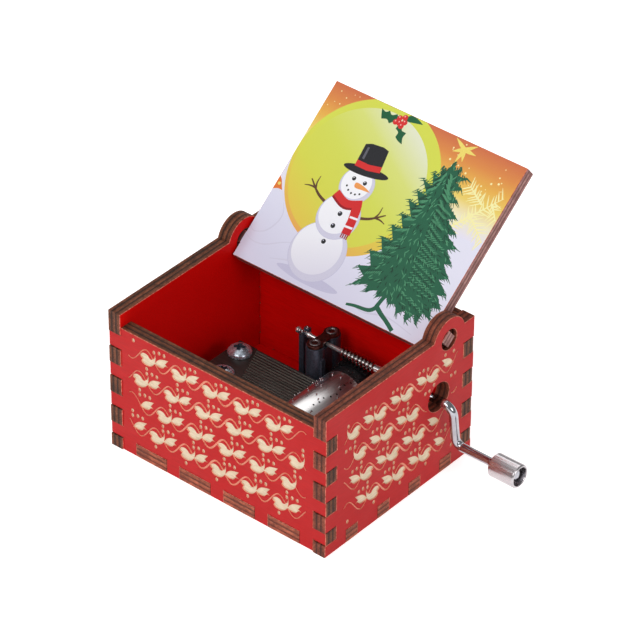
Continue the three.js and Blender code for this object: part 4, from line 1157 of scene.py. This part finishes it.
cf.append([(len(rings) - 1) * n + i for i in range(n)])
wire = mesh_object("crank_wire_bent", cv, cf, [CHROME, SHAFT], "crank", "crank_wire", angle=42)
# the shaft end of the wire takes the brighter copy: painted sheen
for p in wire.data.polygons:
    p.material_index = 1 if p.center.x < 15 * MM else 0

# one right-handed thread, its two ends running out into the shaft
turns, per = 9.5, 36
tv, tf = [], []
count = int(turns * per)
base_x = DRUM_X - 4 * WORM_PITCH
profile = [(-0.36, 0.86), (-0.2, 1.38), (-0.1, 1.5), (0.1, 1.5), (0.2, 1.38), (0.36, 0.86)]
for i in range(count + 1):
    phi = 2 * math.pi * i / per
    ease = min(1.0, i / (per * 0.6), (count - i) / (per * 0.6))
    a = phi - math.pi / 2
    for dx, r in profile:
        rr = 0.86 + (r - 0.86) * ease
        tv.append((base_x + WORM_PITCH * phi / (2 * math.pi) + dx, SHAFT_Y + rr * math.cos(a), SHAFT_Z + rr * math.sin(a)))
m = len(profile)
for i in range(count):
    for k in range(m - 1):
        tf.append([i * m + k, i * m + k + 1, (i + 1) * m + k + 1, (i + 1) * m + k])
    tf.append([i * m + m - 1, i * m, (i + 1) * m, (i + 1) * m + m - 1])
tf.append(list(range(m))[::-1])
tf.append([count * m + k for k in range(m)])
# the thread takes the darker steel: painted shade
mesh_object("worm_thread", tv, tf, [WORM], "crank", angle=50)

add_lathe("crank_knob_turned", [(1.13, 48.5), (1.13, KNOB_START), (2.6, KNOB_START), (KNOB_R, KNOB_START + 0.3), (KNOB_R, KNOB_END - 0.3),
          (2.66, KNOB_END), (2.38, KNOB_END), (2.28, KNOB_END - 0.3), (2.26, KNOB_END - 2.6), (1.13, KNOB_END - 2.6), (1.13, 48.5)], "x",
          (0, HANDLE_Y, HANDLE_Z), 96, KNOB_METAL, "knob", "crank_knob", 0.1)

# ------------------------------------------------------------------ floor and light
floor_look = Look("floor", Roughness=0.9, Specular_IOR_Level=0.1)
floor_noise = floor_look.noise(floor_look.object_coords(), 40, 3, 0.5)
floor_look.colour(floor_look.ramp(floor_noise, [(0.3, (0.93, 0.93, 0.93, 1)), (0.7, (0.95, 0.95, 0.95, 1))]))
floor_look.b.inputs["Emission Color"].default_value = (1, 1, 1, 1)
floor_look.b.inputs["Emission Strength"].default_value = 0.6
fm = bpy.data.meshes.new("floor")
bm = bmesh.new()
bmesh.ops.create_grid(bm, x_segments=8, y_segments=8, size=3.0)
bm.to_mesh(fm)
bm.free()
fm.materials.append(floor_look.m)
floor = bpy.data.objects.new("floor", fm)
floor.location.z = -0.00002
bpy.context.scene.collection.objects.link(floor)

world = bpy.data.worlds.new("studio")
bpy.context.scene.world = world
world.use_nodes = True
world.node_tree.nodes["Background"].inputs["Color"].default_value = (1, 1, 1, 1)
world.node_tree.nodes["Background"].inputs["Strength"].default_value = 0.3


def area_light(name, at, towards, size, power, size_y=None):
    d = bpy.data.lights.new(name, "AREA")
    d.energy = power
    d.shape = "RECTANGLE"
    d.size = size
    d.size_y = size_y or size
    o = bpy.data.objects.new(name, d)
    bpy.context.scene.collection.objects.link(o)
    o.location = at
    o.rotation_euler = (Vector(towards) - Vector(at)).to_track_quat("-Z", "Y").to_euler()
    return o


target = (0.0, 0.0, 0.02)
area_light("key", (0.1, -0.75, 0.66), target, 0.45, 3.3)
area_light("left", (-0.62, -0.62, 0.6), target, 0.4, 1.3)
area_light("side", (0.9, -0.2, 0.5), target, 0.35, 2.1)
area_light("top", (-0.1, -0.1, 1.0), target, 0.6, 0.8)
area_light("back", (-0.36, 0.62, 0.84), target, 0.75, 3.0)

bpy.context.scene.view_settings.view_transform = "Standard"
bpy.context.scene.view_settings.look = "None"
